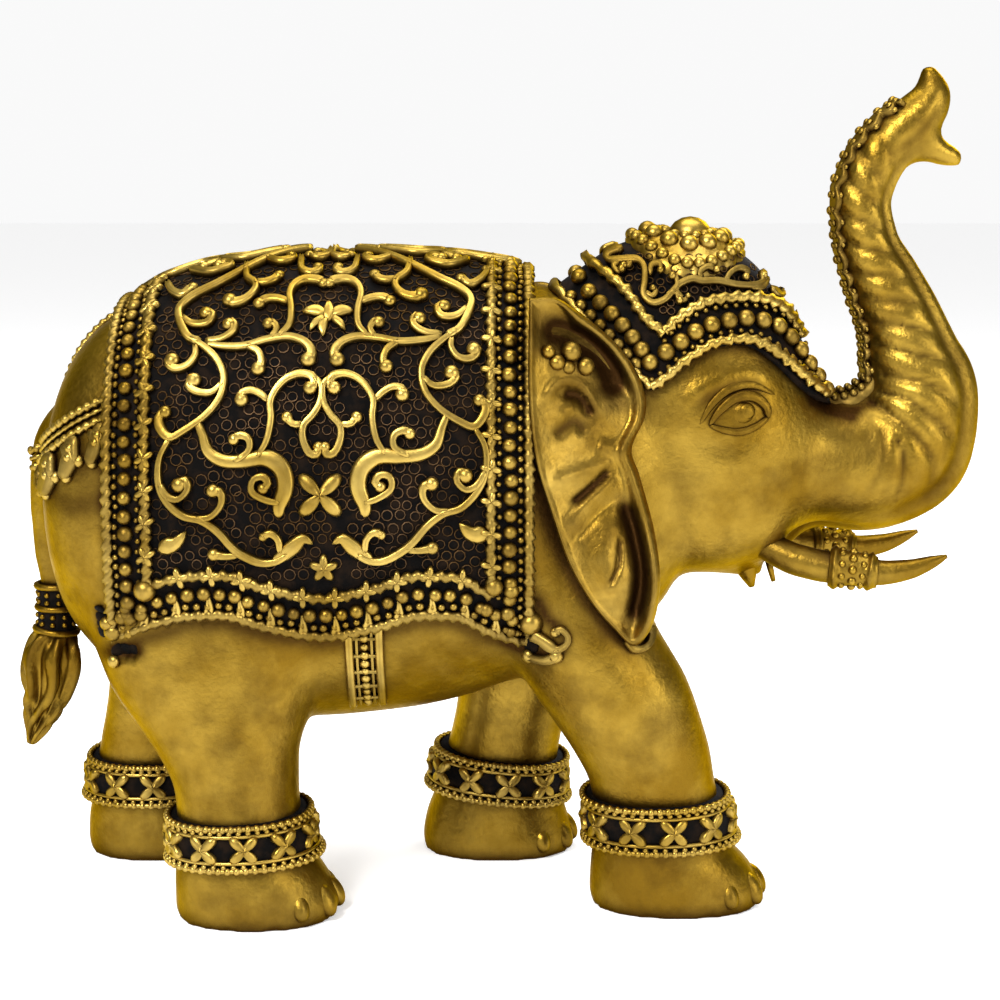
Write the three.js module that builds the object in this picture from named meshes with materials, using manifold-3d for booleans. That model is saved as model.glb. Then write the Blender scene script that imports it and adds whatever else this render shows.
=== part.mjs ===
// A brass figurine of a walking elephant that lifts its trunk, cast in one piece.
// It wears a saddle cloth with scrollwork, a cap, a girth strap, a band along the trunk and four anklets.
// Millimetres. +X points to the trunk, +Y to the elephant's left side, +Z up, and the soles are at Z = 0.
// The sides of the figure are called right (-Y, side -1) and left (+Y, side +1).

import * as THREE from 'three';
import Module from 'manifold-3d';

const wasm = await Module();
wasm.setup();

// Driving sizes

const figureLength = 199; // from the tuft of the tail to the bend of the trunk
const drawnLength = 199; // the length that the tables of the figure are drawn for
const clothLift = 1.5; // the ground of the cloth, above the hide
const clothSink = 3; // how far the cloth's solid reaches into the hide
const borderLift = 2.4; // the rims of the cloth's border, above the hide
const rimWidth = 1.6; // one rim of the border
const sideBorder = 8; // width of the border at the cloth's front and rear edges
const hemBorder = 9; // height of the border along the hem
const clothRear = -75.5; // rear edge of the cloth
const clothFront = 5; // front edge of the cloth
const scrollWidth = 2; // a scroll of the cloth at its thickest
const scrollLift = 1.3; // a scroll above the cloth's ground
const scrollStep = 9; // length of one straight piece of a scroll
const capLift = 1.5; // the cap above the scalp
const capBandHeight = 5.2; // the band of beads along the cap's edge
const capBandLift = 0.9; // that band above the cap
const bossRadius = 4.6; // the dome on top of the cap
const bossHeight = 4.2; // that dome above the middle of the cap
const ankletLift = 1.9; // the anklet's rims above the leg
const ankletLow = 12; // bottom of the anklets above the ground
const ankletHeight = 10.5; // from the lower rim to the upper rim
const strapWidth = 7.5; // girth strap under the belly
const strapLift = 1.2; // the strap's rims above the hide
const trunkBandWidth = 7.5; // filigree band on the front of the trunk
const trunkBandLift = 1.1; // that band above the hide
const tailRingLift = 1; // the ring around the tail above it
const cuffLift = 1; // the metal cuffs above the tusks
const earThickness = 3.2; // the ear's leaf
const earRim = 1.7; // the ear's rolled rim, above the leaf
const toeNail = 3; // half the width of a toenail
const eyeLength = 9.2; // from corner to corner of the lids
const eyeHeight = 5.2;
const eyeLift = 1.1; // the eye above the cheek

const share = figureLength / drawnLength;

// Tables of the figure, drawn in millimetres at drawnLength

// Torso: place along X, top, bottom, half width, height of the widest point
const torsoTable = [
  [-94.4, 88.5, 80.5, 5, 86],
  [-93.4, 93, 74.5, 12.5, 86],
  [-91.6, 101.6, 65, 20, 86],
  [-89.4, 108.8, 58.5, 24.2, 86],
  [-86, 114.8, 53, 27.4, 86],
  [-80.5, 120, 47.5, 30.3, 86],
  [-74, 123, 44, 32.2, 85],
  [-66, 127.5, 41, 33.5, 84],
  [-56, 130, 38, 34.4, 84],
  [-40, 131.9, 36.5, 35, 84],
  [-20, 131.9, 38.3, 35, 84],
  [-8, 130.9, 40.8, 34.2, 84],
  [0, 129.8, 43.5, 33.5, 84],
  [12, 126, 47, 30, 85],
  [24, 124, 52, 25, 86],
  [36, 122, 62, 19, 88],
];

const middleRing = -30; // one more section of the torso, between two distant rows of its table

// Head: height, rear, front, half width
const headTable = [
  [67, 37, 48, 5],
  [69.2, 30, 54.6, 11],
  [73, 25, 61, 16],
  [78, 22, 65, 18.5],
  [86, 19, 68, 20.5],
  [94, 17, 69, 21.5],
  [102, 14, 67.5, 21.5],
  [110, 12, 63.8, 20.5],
  [118, 10.5, 60, 18.5],
  [125, 12, 56.3, 15.5],
  [131, 18.8, 52, 11.5],
  [135.1, 24.8, 46.4, 7],
  [137.1, 31, 41, 2.5],
];

// Trunk: place along its length, X and Z of its middle, half thickness, half width
const trunkTable = [
  [0, 58, 92, 13.6, 15.5],
  [1, 66, 90.2, 13.6, 15],
  [2, 75.5, 89.8, 14.3, 14],
  [3, 84.3, 93.4, 13.9, 13],
  [4, 87.2, 105, 12, 11.8],
  [5, 85.2, 113, 9.9, 10.1],
  [6, 83, 120, 8.4, 8.8],
  [7, 79.2, 128, 7.5, 7.6],
  [8, 75.7, 136, 6.2, 6.6],
  [9, 74.4, 144, 5.8, 6],
  [10, 76.5, 150.8, 6, 5.8],
  [11, 80.4, 156.3, 5.9, 5.7],
  [12, 85, 160.8, 4.9, 5.2],
  [13, 87.6, 166, 3, 4],
  [14, 87, 171.4, 0.8, 1.4],
];

// Lower finger of the trunk's tip, with the same columns
const fingerTable = [
  [0, 81, 155, 4, 4.5],
  [1, 86, 155.2, 3.2, 4],
  [2, 90.6, 153.8, 2.3, 3],
  [3, 94.6, 152.6, 0.9, 1.3],
];

// Lower jaw, with the same columns
const jawTable = [
  [0, 40, 71.5, 4.5, 11],
  [1, 47, 69.8, 3.4, 8.5],
  [2, 52.5, 67.8, 2.2, 5],
  [3, 56, 66.4, 0.9, 2],
];

// Legs: height, rear, front, Y of the middle, half width
const legTables = {
  rightFront: [
    [0, 19.2, 53.6, -16, 12.4],
    [3, 18.6, 54.4, -16, 13],
    [8, 18.8, 52, -16, 12.9],
    [13, 19.2, 47.8, -16.2, 12.5],
    [20, 19.4, 45.8, -16.8, 12.4],
    [26, 18.4, 44.2, -17.4, 12.6],
    [33, 15, 43, -18.2, 13],
    [40, 10.5, 41, -19, 13.6],
    [48, 5, 38.2, -19.4, 14],
    [60, 1, 31.4, -18.6, 14.6],
    [74, 4, 25, -16, 14.5],
  ],
  rightHind: [
    [0, -65.7, -33.8, -23.4, 12.6],
    [3, -66.2, -32.8, -23.4, 13.1],
    [8, -66.2, -35, -23.4, 13],
    [13, -65.9, -38.2, -23, 12.5],
    [20, -65.7, -40.4, -22.6, 12.3],
    [26, -66.2, -41, -21.8, 12.4],
    [33, -69.2, -40.9, -21.4, 12.8],
    [40, -74.2, -39, -20.8, 13.3],
    [48, -79.8, -35, -19.8, 14.1],
    [60, -83.9, -30, -18, 15.6],
    [74, -88.5, -34, -14.5, 16.5],
  ],
  leftFront: [
    [0, -16.8, 15.9, 21.6, 12.4],
    [3, -17.2, 16.4, 21.6, 13],
    [8, -16.4, 15, 21.6, 12.9],
    [13, -14.6, 13.6, 21.6, 12.5],
    [20, -12.8, 12.8, 21.5, 12.3],
    [26, -11, 13.6, 21.2, 12.4],
    [33, -9.6, 15.2, 20.8, 12.8],
    [40, -8.8, 19, 20.4, 13.4],
    [48, -7, 25, 19.8, 14],
    [60, -2, 29, 18.8, 14.6],
    [74, 3, 26, 16, 14.5],
  ],
  leftHind: [
    [0, -91.6, -60.6, 21.4, 12.4],
    [3, -92.2, -59.8, 21.4, 13],
    [8, -92, -61.6, 21.4, 12.9],
    [13, -91, -63.8, 21.4, 12.5],
    [20, -89.8, -65.4, 21.4, 12.3],
    [26, -88.8, -65.6, 21.2, 12.4],
    [33, -87.4, -64.6, 20.8, 12.8],
    [40, -86.6, -61, 20.4, 13.3],
    [48, -86.8, -56, 19.8, 14.1],
    [60, -89.4, -46, 18, 15.6],
    [74, -91.5, -46, 14.5, 16.5],
  ],
};

// Tail: place along it, X and Z of its middle, half thickness, half width
const tailTable = [
  [0, -91, 101, 3.6, 5],
  [1, -94.6, 93, 3.9, 4.6],
  [2, -95.2, 82, 3.8, 4.2],
  [3, -94.7, 72, 3.6, 3.9],
  [4, -93.7, 64, 3.4, 3.7],
  [5, -93.9, 56, 3.3, 3.6],
  [6, -95.2, 48, 5.8, 5.2],
  [7, -96.8, 39.5, 4.2, 4],
  [8, -100.2, 29.4, 0.9, 1.2],
];

// Tusk of one side: place along it, X, Z, distance from the middle plane, radius
const tuskTable = [
  [0, 53, 75, 10.5, 3],
  [1, 61, 71.3, 12.5, 3.3],
  [2, 67.2, 70.1, 13.7, 3.3],
  [3, 72.5, 69.8, 14.6, 3],
  [4, 77.6, 69.2, 15.3, 2.6],
  [5, 83.1, 69.9, 15.7, 2.1],
  [6, 88, 71.5, 15.8, 1.3],
  [7, 91, 72.7, 15.7, 0.4],
];

// Ear: its outline from the top of the rear edge, around the front, back to the start
const earOutline = [
  [5.6, 126], [11.5, 125.6], [19.3, 119.9], [24.6, 114.6], [28.4, 108], [28.8, 102.4], [26, 96],
  [27.6, 90.6], [30.4, 80], [31.4, 70], [30, 62], [26.5, 57.8], [22.5, 61], [17.7, 66.8], [13.4, 74.5],
  [9.8, 84.7], [6.8, 95], [5.5, 108],
];

// Ear: the line along its middle that its hollow lies around
const earSpine = [[13, 118], [17, 104], [18.5, 90], [22, 78], [25.5, 66]];

const earFront = 31; // place along X of the ear's front edge, where it starts

// Ear: height, distance from the middle plane where it starts, and its slant towards the rear
const earPlane = [
  [57, 33, 0.06],
  [70, 33, 0.1],
  [85, 28, 0.3],
  [98, 23.5, 0.45],
  [126, 19, 0.5],
];

// Lower edge of the cap, seen from the side
const capEdge = [
  [8, 128], [20, 116.5], [29.6, 107.2], [35.5, 112.4], [41, 115.6], [46, 117], [52.5, 114.2], [58, 110.5],
  [66, 104.5], [72, 101],
];

// Middles of small forms in the side view, along X and Z
const bossPlace = [38.5, 136.5];
const bandFootPlace = [71.3, 102];
const eyePlace = [47.4, 102.8];

// Hem of the cloth: place along X and height of its lower line
const hemLine = [
  [-77, 58], [-72, 60.5], [-61, 64], [-54, 64.3], [-46, 62], [-35, 60], [-24, 62], [-16, 64.3], [-9, 64],
  [-2, 60.5], [6, 57.5],
];

// Scrolls of the cloth on one quarter: distance from the middle of the cloth along X, and down from the ridge
const scrollPaths = {
  outerStem: [[9, 5], [17, 13.5], [25, 19.5], [28, 24], [24.5, 30.8], [19.6, 36], [20.5, 43.5], [26.5, 47.6], [31, 43.2]],
  crossStem: [[24.5, 31], [15, 33.5], [7, 32.6], [2.6, 37.4]],
  middleArch: [[9, 32], [6.6, 26], [6.4, 20.6], [1, 19.6]],
  innerArch: [[11.5, 54.6], [9.6, 46], [6, 40.4], [2, 42.4]],
  thickLeaf: [[22.8, 46.6], [21, 53], [12, 55.4], [7.2, 60], [8.8, 66.2]],
  lowerStem: [[29, 48.2], [31, 55], [26.5, 63.6], [18, 70.5], [10, 75.3], [2, 71.6]],
};

// Interpolates the rows of a table at a place given in its first column, without overshoot

function slopes(table, column) {
  const count = table.length;
  const secant = (i) => (table[i + 1][column] - table[i][column]) / (table[i + 1][0] - table[i][0]);
  return table.map((row, i) => {
    if (i === 0) {
      return secant(0);
    }
    if (i === count - 1) {
      return secant(count - 2);
    }
    const before = secant(i - 1);
    const after = secant(i);
    return before * after <= 0 ? 0 : (2 * before * after) / (before + after);
  });
}

function makeCurve(table) {
  const columns = table[0].map((value, column) => (column === 0 ? null : slopes(table, column)));
  return (place) => {
    let i = 0;
    while (i < table.length - 2 && place > table[i + 1][0]) {
      i += 1;
    }
    const span = table[i + 1][0] - table[i][0];
    const s = THREE.MathUtils.clamp((place - table[i][0]) / span, 0, 1);
    const values = [place];
    for (let column = 1; column < table[0].length; column += 1) {
      const from = table[i][column];
      const to = table[i + 1][column];
      const slopeFrom = columns[column][i] * span;
      const slopeTo = columns[column][i + 1] * span;
      const cubic = 2 * from - 2 * to + slopeFrom + slopeTo;
      const square = -3 * from + 3 * to - 2 * slopeFrom - slopeTo;
      values.push(((cubic * s + square) * s + slopeFrom) * s + from);
    }
    return values;
  };
}

const scaled = (table, firstToo = true) =>
  table.map((row) => row.map((value, column) => (column === 0 && !firstToo ? value : value * share)));

const torso = makeCurve(scaled(torsoTable));
const head = makeCurve(scaled(headTable));
const trunk = makeCurve(scaled(trunkTable, false));
const finger = makeCurve(scaled(fingerTable, false));
const jaw = makeCurve(scaled(jawTable, false));
const tail = makeCurve(scaled(tailTable, false));
const tusk = makeCurve(scaled(tuskTable, false));
const hem = makeCurve(scaled(hemLine));
const legs = Object.values(legTables).map((table) => makeCurve(scaled(table)));

// Closed solids from rings of points

function closedSolid(points, triangles) {
  const vertProperties = new Float32Array(points.length * 3);
  points.forEach((point, i) => {
    vertProperties[3 * i] = point.x;
    vertProperties[3 * i + 1] = point.y;
    vertProperties[3 * i + 2] = point.z;
  });
  const mesh = new wasm.Mesh({ numProp: 3, vertProperties, triVerts: new Uint32Array(triangles.flat()) });
  const solid = new wasm.Manifold(mesh);
  return solid;
}

function signedVolume(points, triangles) {
  const cross = new THREE.Vector3();
  return triangles.reduce((sum, [a, b, c]) => {
    cross.crossVectors(points[b], points[c]);
    return sum + points[a].dot(cross);
  }, 0);
}

function outward(points, triangles) {
  return signedVolume(points, triangles) > 0 ? triangles : triangles.map(([a, b, c]) => [a, c, b]);
}

function average(points) {
  const sum = points.reduce((total, point) => total.add(point), new THREE.Vector3());
  return sum.divideScalar(points.length);
}

function loft(rings) {
  const sides = rings[0].length;
  const points = rings.flat();
  const triangles = [];
  for (let ring = 0; ring < rings.length - 1; ring += 1) {
    for (let side = 0; side < sides; side += 1) {
      const a = ring * sides + side;
      const b = ring * sides + ((side + 1) % sides);
      triangles.push([a, b, b + sides], [a, b + sides, a + sides]);
    }
  }
  const first = points.length;
  points.push(average(rings[0]), average(rings[rings.length - 1]));
  const last = (rings.length - 1) * sides;
  for (let side = 0; side < sides; side += 1) {
    const next = (side + 1) % sides;
    triangles.push([first, next, side], [first + 1, last + side, last + next]);
  }
  return closedSolid(points, outward(points, triangles));
}

// A place in the middle plane, from its drawn X and Z
const sideView = ([x, z]) => new THREE.Vector3(x * share, 0, z * share);

const range = (count) => Array.from({ length: count }, (unused, i) => i);
const spread = (from, to, steps) => range(steps + 1).map((i) => from + ((to - from) * i) / steps);

// A rounded outline: full turns of an ellipse whose corners swell with its exponent
function roundness(angle, exponent) {
  const power = 2 / exponent;
  const c = Math.cos(angle);
  const s = Math.sin(angle);
  return [Math.sign(c) * Math.abs(c) ** power, Math.sign(s) * Math.abs(s) ** power];
}

// Torso

const torsoExponent = 2.25;

// A point of the torso's section at x, turned by an angle from the right side over the top
function torsoPoint(x, angle) {
  const [, top, bottom, halfWidth, middle] = torso(x);
  const [across, up] = roundness(angle, torsoExponent);
  const z = up > 0 ? middle + up * (top - middle) : middle + up * (middle - bottom);
  return new THREE.Vector3(x, across * halfWidth, z);
}

function torsoSolid() {
  const places = [...torsoTable.map((row) => row[0] * share), middleRing * share];
  places.sort((a, b) => a - b);
  const sides = 22;
  return loft(places.map((x) => range(sides).map((i) => torsoPoint(x, (i / sides) * 2 * Math.PI))));
}

// Head

const headExponent = 2.3;
const headSides = 16;

function headRing(z, lift, sides) {
  const [, rear, front, halfWidth] = head(z);
  return range(sides).map((i) => {
    const [along, across] = roundness((i / sides) * 2 * Math.PI, headExponent);
    const x = (rear + front) / 2 + along * ((front - rear) / 2 + lift);
    return new THREE.Vector3(x, across * (halfWidth + lift), z);
  });
}

function headSolid(lift, sides) {
  const top = headTable[headTable.length - 1][0] * share;
  const rings = headTable.map((row) => headRing(row[0] * share, lift, sides));
  rings.push(headRing(top, lift, sides).map((point) => point.setZ(point.z + lift)));
  return loft(rings);
}

// Distance of the head's side from the middle plane, at a place seen from the side
function headSide(x, z, lift) {
  const [, rear, front, halfWidth] = head(z);
  const along = Math.abs(x - (rear + front) / 2) / ((front - rear) / 2 + lift);
  return (halfWidth + lift) * Math.max(0, 1 - along ** headExponent) ** (1 / headExponent);
}

// Limbs that follow a curve in the middle plane or beside it

function limbRings(curve, places, sides, lift = 0) {
  const middle = (place) => {
    const [, x, z] = curve(place);
    return new THREE.Vector3(x, 0, z);
  };
  const step = 0.05;
  return places.map((place) => {
    const [, , , thick, wide] = curve(place);
    const before = middle(Math.max(place - step, places[0]));
    const after = middle(Math.min(place + step, places[places.length - 1]));
    const ahead = after.sub(before).normalize();
    const up = new THREE.Vector3(-ahead.z, 0, ahead.x);
    return range(sides).map((i) => {
      const angle = (i / sides) * 2 * Math.PI;
      const point = middle(place).addScaledVector(up, Math.cos(angle) * (thick + lift));
      return point.setY(Math.sin(angle) * (wide + lift));
    });
  });
}

// Trunk, with shallow folds across it

const foldsFrom = 3.9; // first fold, along the trunk's table
const foldsTo = 9.4;
const foldDepth = 0.35;

function trunkSolid() {
  const places = [0, 1, 2, 2.55, 3, 3.45, ...spread(foldsFrom, foldsTo, 14), 10, 10.6, 11.3, 12, 12.6, 13.2, 14];
  const rings = limbRings(trunk, places, 10);
  const folded = rings.map((ring, i) => {
    const inFolds = places[i] > foldsFrom && places[i] < foldsTo;
    const lift = inFolds ? (i % 2 === 0 ? foldDepth : -foldDepth) : 0;
    const middle = average(ring);
    return ring.map((point) => {
      const out = point.clone().sub(middle);
      return point.clone().addScaledVector(out.normalize(), lift);
    });
  });
  return loft(folded);
}

const fingerSolid = () => loft(limbRings(finger, spread(0, 3, 4), 8));
const jawSolid = () => loft(limbRings(jaw, spread(0, 3, 3), 8));

// Tail with its tuft

function tailSolid() {
  return loft(limbRings(tail, [0, 1, 2, 3, 4, 5, 5.5, 6, 6.5, 7, 7.5, 8], 12));
}

function tailRing() {
  const places = [4, 4.1, 4.4, 4.9, 5.2, 5.3];
  const lifts = [-0.5, 1.1, 0.5, 0.5, 1.1, -0.5].map((lift) => lift * tailRingLift);
  const rings = places.map((place, i) => limbRings(tail, [place - 0.1, place, place + 0.1], 8, lifts[i])[1]);
  return loft(rings);
}

// Legs

const legExponent = 2.2;
const legSides = 11;

function legRing(leg, z, lift, sides) {
  const [, rear, front, y, halfWidth] = leg(z);
  return range(sides).map((i) => {
    const [along, across] = roundness((i / sides) * 2 * Math.PI, legExponent);
    const x = (rear + front) / 2 + along * ((front - rear) / 2 + lift);
    return new THREE.Vector3(x, y + across * (halfWidth + lift), z);
  });
}

function legSolid(leg) {
  const heights = legTables.rightFront.map((row) => row[0] * share);
  return loft(heights.map((z) => legRing(leg, z, 0, legSides)));
}

function ankletSolid(leg) {
  const rim = 0.24; // share of the anklet's height that a rim of beads takes
  const profile = [[0, -0.6], [0.08, 1], [rim, 0.4], [1 - rim, 0.4], [0.92, 1], [1, -0.6]];
  return loft(profile.map(([up, out]) =>
    legRing(leg, ankletLow + up * ankletHeight, out * ankletLift, legSides)));
}

function ellipsoid(center, radii, sides = 6, rows = 3) {
  const rings = range(rows).map((row) => {
    const tilt = ((row + 1) / (rows + 1) - 0.5) * Math.PI;
    return range(sides).map((i) => {
      const angle = (i / sides) * 2 * Math.PI;
      return new THREE.Vector3(
        center.x + radii.x * Math.cos(tilt) * Math.cos(angle),
        center.y + radii.y * Math.cos(tilt) * Math.sin(angle),
        center.z + radii.z * Math.sin(tilt),
      );
    });
  });
  return loft(rings);
}

function toeNails(leg) {
  const z = 3.6 * share;
  const ring = legRing(leg, z, -1.5, 36);
  const around = [-4, 1];
  return around.map((step) => {
    const place = ring[(step + 36) % 36];
    return ellipsoid(place, new THREE.Vector3(toeNail * 0.8, toeNail, toeNail * 1.1));
  });
}

// Ears: a leaf with a rolled rim, its hollow face turned outwards

const earCurve = makeCurve(scaled(earPlane));

function earPoint(x, z, out, side) {
  const [, start, slant] = earCurve(THREE.MathUtils.clamp(z, 57 * share, 126 * share));
  const slope = slant / share;
  const y = start + slope * (earFront * share - x) + out;
  return new THREE.Vector3(x, side * y, z);
}

function smoothLoop(points, steps) {
  const loop = new THREE.CatmullRomCurve3(points.map(([x, z]) => new THREE.Vector3(x * share, 0, z * share)), true);
  return loop.getPoints(steps).slice(0, steps);
}

// The point of the ear's spine that an edge point shrinks towards
function onSpine(point) {
  const spine = earSpine.map(([x, z]) => new THREE.Vector3(x * share, 0, z * share));
  let nearest = spine[0];
  for (let i = 0; i < spine.length - 1; i += 1) {
    const candidate = new THREE.Line3(spine[i], spine[i + 1]).closestPointToPoint(point, true, new THREE.Vector3());
    nearest = candidate.distanceTo(point) < nearest.distanceTo(point) ? candidate : nearest;
  }
  return nearest;
}

// Triangles that fill a loop, seen along Y, turning the same way as the loop
function flatCap(loop) {
  const flat = loop.map((point) => new THREE.Vector2(point.x, point.z));
  const triangles = THREE.ShapeUtils.triangulateShape(flat, []);
  const area = triangles.reduce((sum, [a, b, c]) => sum + THREE.ShapeUtils.area([flat[a], flat[b], flat[c]]), 0);
  return area * THREE.ShapeUtils.area(flat) > 0 ? triangles : triangles.map(([a, b, c]) => [a, c, b]);
}

// A closed solid from loops that lie one behind the other along Y
function plate(loops) {
  const sides = loops[0].length;
  const points = loops.flat();
  const triangles = [];
  for (let ring = 0; ring < loops.length - 1; ring += 1) {
    for (let side = 0; side < sides; side += 1) {
      const a = ring * sides + side;
      const b = ring * sides + ((side + 1) % sides);
      triangles.push([a, b, b + sides], [a, b + sides, a + sides]);
    }
  }
  const last = (loops.length - 1) * sides;
  flatCap(loops[0]).forEach(([a, b, c]) => triangles.push([a, c, b]));
  flatCap(loops[loops.length - 1]).forEach(([a, b, c]) => triangles.push([last + a, last + b, last + c]));
  return closedSolid(points, outward(points, triangles));
}

function earSolid(side) {
  const edge = smoothLoop(earOutline, 24);
  const layers = [
    [0.97, -earThickness],
    [1, earRim * 0.6],
    [0.9, earRim],
    [0.78, -earThickness * 0.3],
    [0.45, earRim * 0.2],
  ];
  const loops = layers.map(([portion, out]) => edge.map((point) => {
    const place = onSpine(point).lerp(point, portion);
    return earPoint(place.x, place.z, out, side);
  }));
  return plate(loops);
}

// Saddle cloth: points by their place along X and by their distance down from the ridge

const sectionSteps = 90;

// The torso's section at x, from the ridge down to the belly, as points and lengths
function sectionDown(x) {
  const points = spread(Math.PI / 2, -Math.PI / 2, sectionSteps).map((angle) => torsoPoint(x, angle));
  let length = 0;
  return points.map((point, i) => {
    length += i === 0 ? 0 : point.distanceTo(points[i - 1]);
    return { point, length };
  });
}

// A point that far down from the ridge at x, lifted off the hide; down is negative on the right side
function clothPoint(x, down, lift, section = sectionDown(x)) {
  const distance = Math.abs(down);
  let i = 1;
  while (i < section.length - 1 && section[i].length < distance) {
    i += 1;
  }
  const from = section[i - 1];
  const to = section[i];
  const s = (distance - from.length) / (to.length - from.length);
  const point = from.point.clone().lerp(to.point, s);
  const ahead = to.point.clone().sub(from.point).normalize();
  const out = new THREE.Vector3(0, -ahead.z, ahead.y);
  point.addScaledVector(out, lift);
  return down < 0 ? point.setY(-point.y) : point;
}

// How far down from the ridge the hem is at x
function hemDistance(x, section = sectionDown(x)) {
  const height = hem(x)[1];
  let i = 1;
  while (section[i].point.z > height) {
    i += 1;
  }
  const s = (section[i - 1].point.z - height) / (section[i - 1].point.z - section[i].point.z);
  return section[i - 1].length + s * (section[i].length - section[i - 1].length);
}

// The cloth's profile across a border, from its outer edge inwards: place and lift
const borderProfile = (width) => [
  [0, clothLift * 0.4],
  [rimWidth * 0.3, borderLift],
  [rimWidth, borderLift],
  [rimWidth * 1.3, clothLift],
  [width - rimWidth * 1.3, clothLift],
  [width - rimWidth, borderLift],
  [width - rimWidth * 0.3, borderLift],
  [width, clothLift],
];

// The cloth is one slab over the ridge: columns along X, and rows from hem to hem
function clothSolid() {
  const border = borderProfile(sideBorder);
  const columns = [
    ...border.map(([inwards, lift]) => [clothRear + inwards, lift]),
    ...spread(clothRear + sideBorder, clothFront - sideBorder, 7).slice(1, -1).map((x) => [x, clothLift]),
    ...border.map(([inwards, lift]) => [clothFront - inwards, lift]).reverse(),
  ];
  const rows = (reach) => {
    const rising = borderProfile(hemBorder).map(([inwards, lift]) => [reach - inwards, lift]);
    const top = spread(reach - hemBorder, hemBorder - reach, 10).slice(1, -1).map((down) => [down, clothLift]);
    return [...rising, ...top, ...rising.map(([down, lift]) => [-down, lift]).reverse()];
  };
  const rings = columns.map(([x, columnLift]) => {
    const section = sectionDown(x);
    const places = rows(hemDistance(x, section));
    const outer = places.map(([down, lift]) => clothPoint(x, down, Math.max(lift, columnLift), section));
    const inner = places.map(([down]) => clothPoint(x, down, -clothSink, section));
    return [...outer, ...inner.reverse()];
  });
  return loft(rings);
}

const clothMiddle = (clothRear + clothFront) / 2;

// Scrolls: ribs with a sharp crest that lie on the cloth's ground, the same on each quarter of the cloth
function scroll(path, along, side) {
  const places = path.map(([away, down]) => new THREE.Vector2(clothMiddle + along * away * share, side * down * share));
  const spine = new THREE.SplineCurve(places);
  const steps = Math.max(3, Math.round(spine.getLength() / scrollStep));
  const base = clothLift - 0.7;
  return loft(spread(0, 1, steps).map((t) => {
    const place = spine.getPoint(t);
    const ahead = spine.getTangent(t);
    const half = (scrollWidth / 2) * (0.6 + 0.4 * Math.sin(Math.PI * t));
    const at = (across, lift) => clothPoint(place.x - ahead.y * across, place.y + ahead.x * across, lift);
    return [at(-half, base), at(0, clothLift + scrollLift), at(half, base)];
  }));
}

function scrolls() {
  return [-1, 1].flatMap((side) => [-1, 1].flatMap((along) =>
    Object.values(scrollPaths).map((path) => scroll(path, along, side))));
}

// Cap with its edge, its dome and the rings around it

function prismAcross(outline) {
  const halfDepth = 60 * share;
  const at = (y) => outline.map(([x, z]) => new THREE.Vector3(x, y, z));
  return plate([at(-halfDepth), at(halfDepth)]);
}

function capSolid() {
  const edge = capEdge.map(([x, z]) => [x * share, z * share]);
  const above = [...edge, [edge[edge.length - 1][0], 160 * share], [edge[0][0], 160 * share]];
  return headSolid(capLift, headSides).intersect(prismAcross(above));
}

// The raised band along the cap's edge
function capBand() {
  const overhang = 0.4;
  const edge = capEdge.map(([x, z]) => [x * share, z * share - overhang]);
  const inner = edge.map(([x, z]) => [x, z + capBandHeight]).reverse();
  return headSolid(capLift + capBandLift, headSides).intersect(prismAcross([...edge, ...inner]));
}

function capBoss() {
  const top = sideView(bossPlace);
  const tiers = [[1.7, -0.7], [1.7, 0.05], [1.05, 0.29], [0.9, 0.62], [0.25, 1]]; // shares of radius and height
  const sides = 8;
  return loft(tiers.map(([wide, up]) => range(sides).map((i) => {
    const angle = (i / sides) * 2 * Math.PI;
    return new THREE.Vector3(
      top.x + wide * bossRadius * Math.cos(angle), wide * bossRadius * Math.sin(angle), top.z + up * bossHeight);
  })));
}

// Filigree band along the front of the trunk, with scalloped edges

function trunkBand() {
  const places = spread(4, 11.6, 14);
  const rings = limbRings(trunk, places, 4);
  const solids = rings.map((ring, i) => {
    const middle = average(ring);
    const out = ring[0].clone().sub(middle).normalize();
    const half = (trunkBandWidth / 2) * (i % 2 === 0 ? 1 : 0.72) * (1 - i / 90);
    const wide = ring[1].y;
    const curve = (y) => Math.sqrt(Math.max(0, 1 - (y / wide) ** 2));
    const thick = ring[0].distanceTo(middle);
    const at = (y, lift) => middle.clone().addScaledVector(out, thick * curve(y) + lift).setY(y);
    return [at(-half, -2), at(-half * 0.7, trunkBandLift), at(half * 0.7, trunkBandLift), at(half, -2)];
  });
  return loft(solids);
}

// The band's foot, where the trunk leaves the cap
function bandFoot() {
  const radii = new THREE.Vector3(trunkBandWidth, trunkBandWidth * 0.62, trunkBandLift * 3);
  return ellipsoid(sideView(bandFootPlace), radii, 8);
}

// Tusks with a metal cuff

function tuskRing(place, side, lift, sides) {
  const at = (where) => {
    const [, x, z, y] = tusk(where);
    return new THREE.Vector3(x, side * y, z);
  };
  const radius = tusk(place)[4] + lift;
  const step = 0.05;
  const last = tuskTable.length - 1;
  const ahead = at(Math.min(place + step, last)).sub(at(Math.max(place - step, 0))).normalize();
  const across = new THREE.Vector3().crossVectors(ahead, new THREE.Vector3(0, 0, 1)).normalize();
  const up = new THREE.Vector3().crossVectors(across, ahead);
  return range(sides).map((i) => {
    const angle = (i / sides) * 2 * Math.PI;
    const point = at(place).addScaledVector(across, Math.cos(angle) * radius);
    return point.addScaledVector(up, Math.sin(angle) * radius);
  });
}

function tuskSolid(side) {
  return loft(range(tuskTable.length).map((place) => tuskRing(place, side, 0, 8)));
}

function cuffSolid(side) {
  const profile = [[2.05, -0.5], [2.15, 1], [2.9, 0.5], [3.65, 1], [3.8, -0.5]];
  return loft(profile.map(([place, out]) => tuskRing(place, side, out * cuffLift, 8)));
}

// Girth strap under the belly, from hem to hem

const strapMiddle = -26.9 * share;

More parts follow.
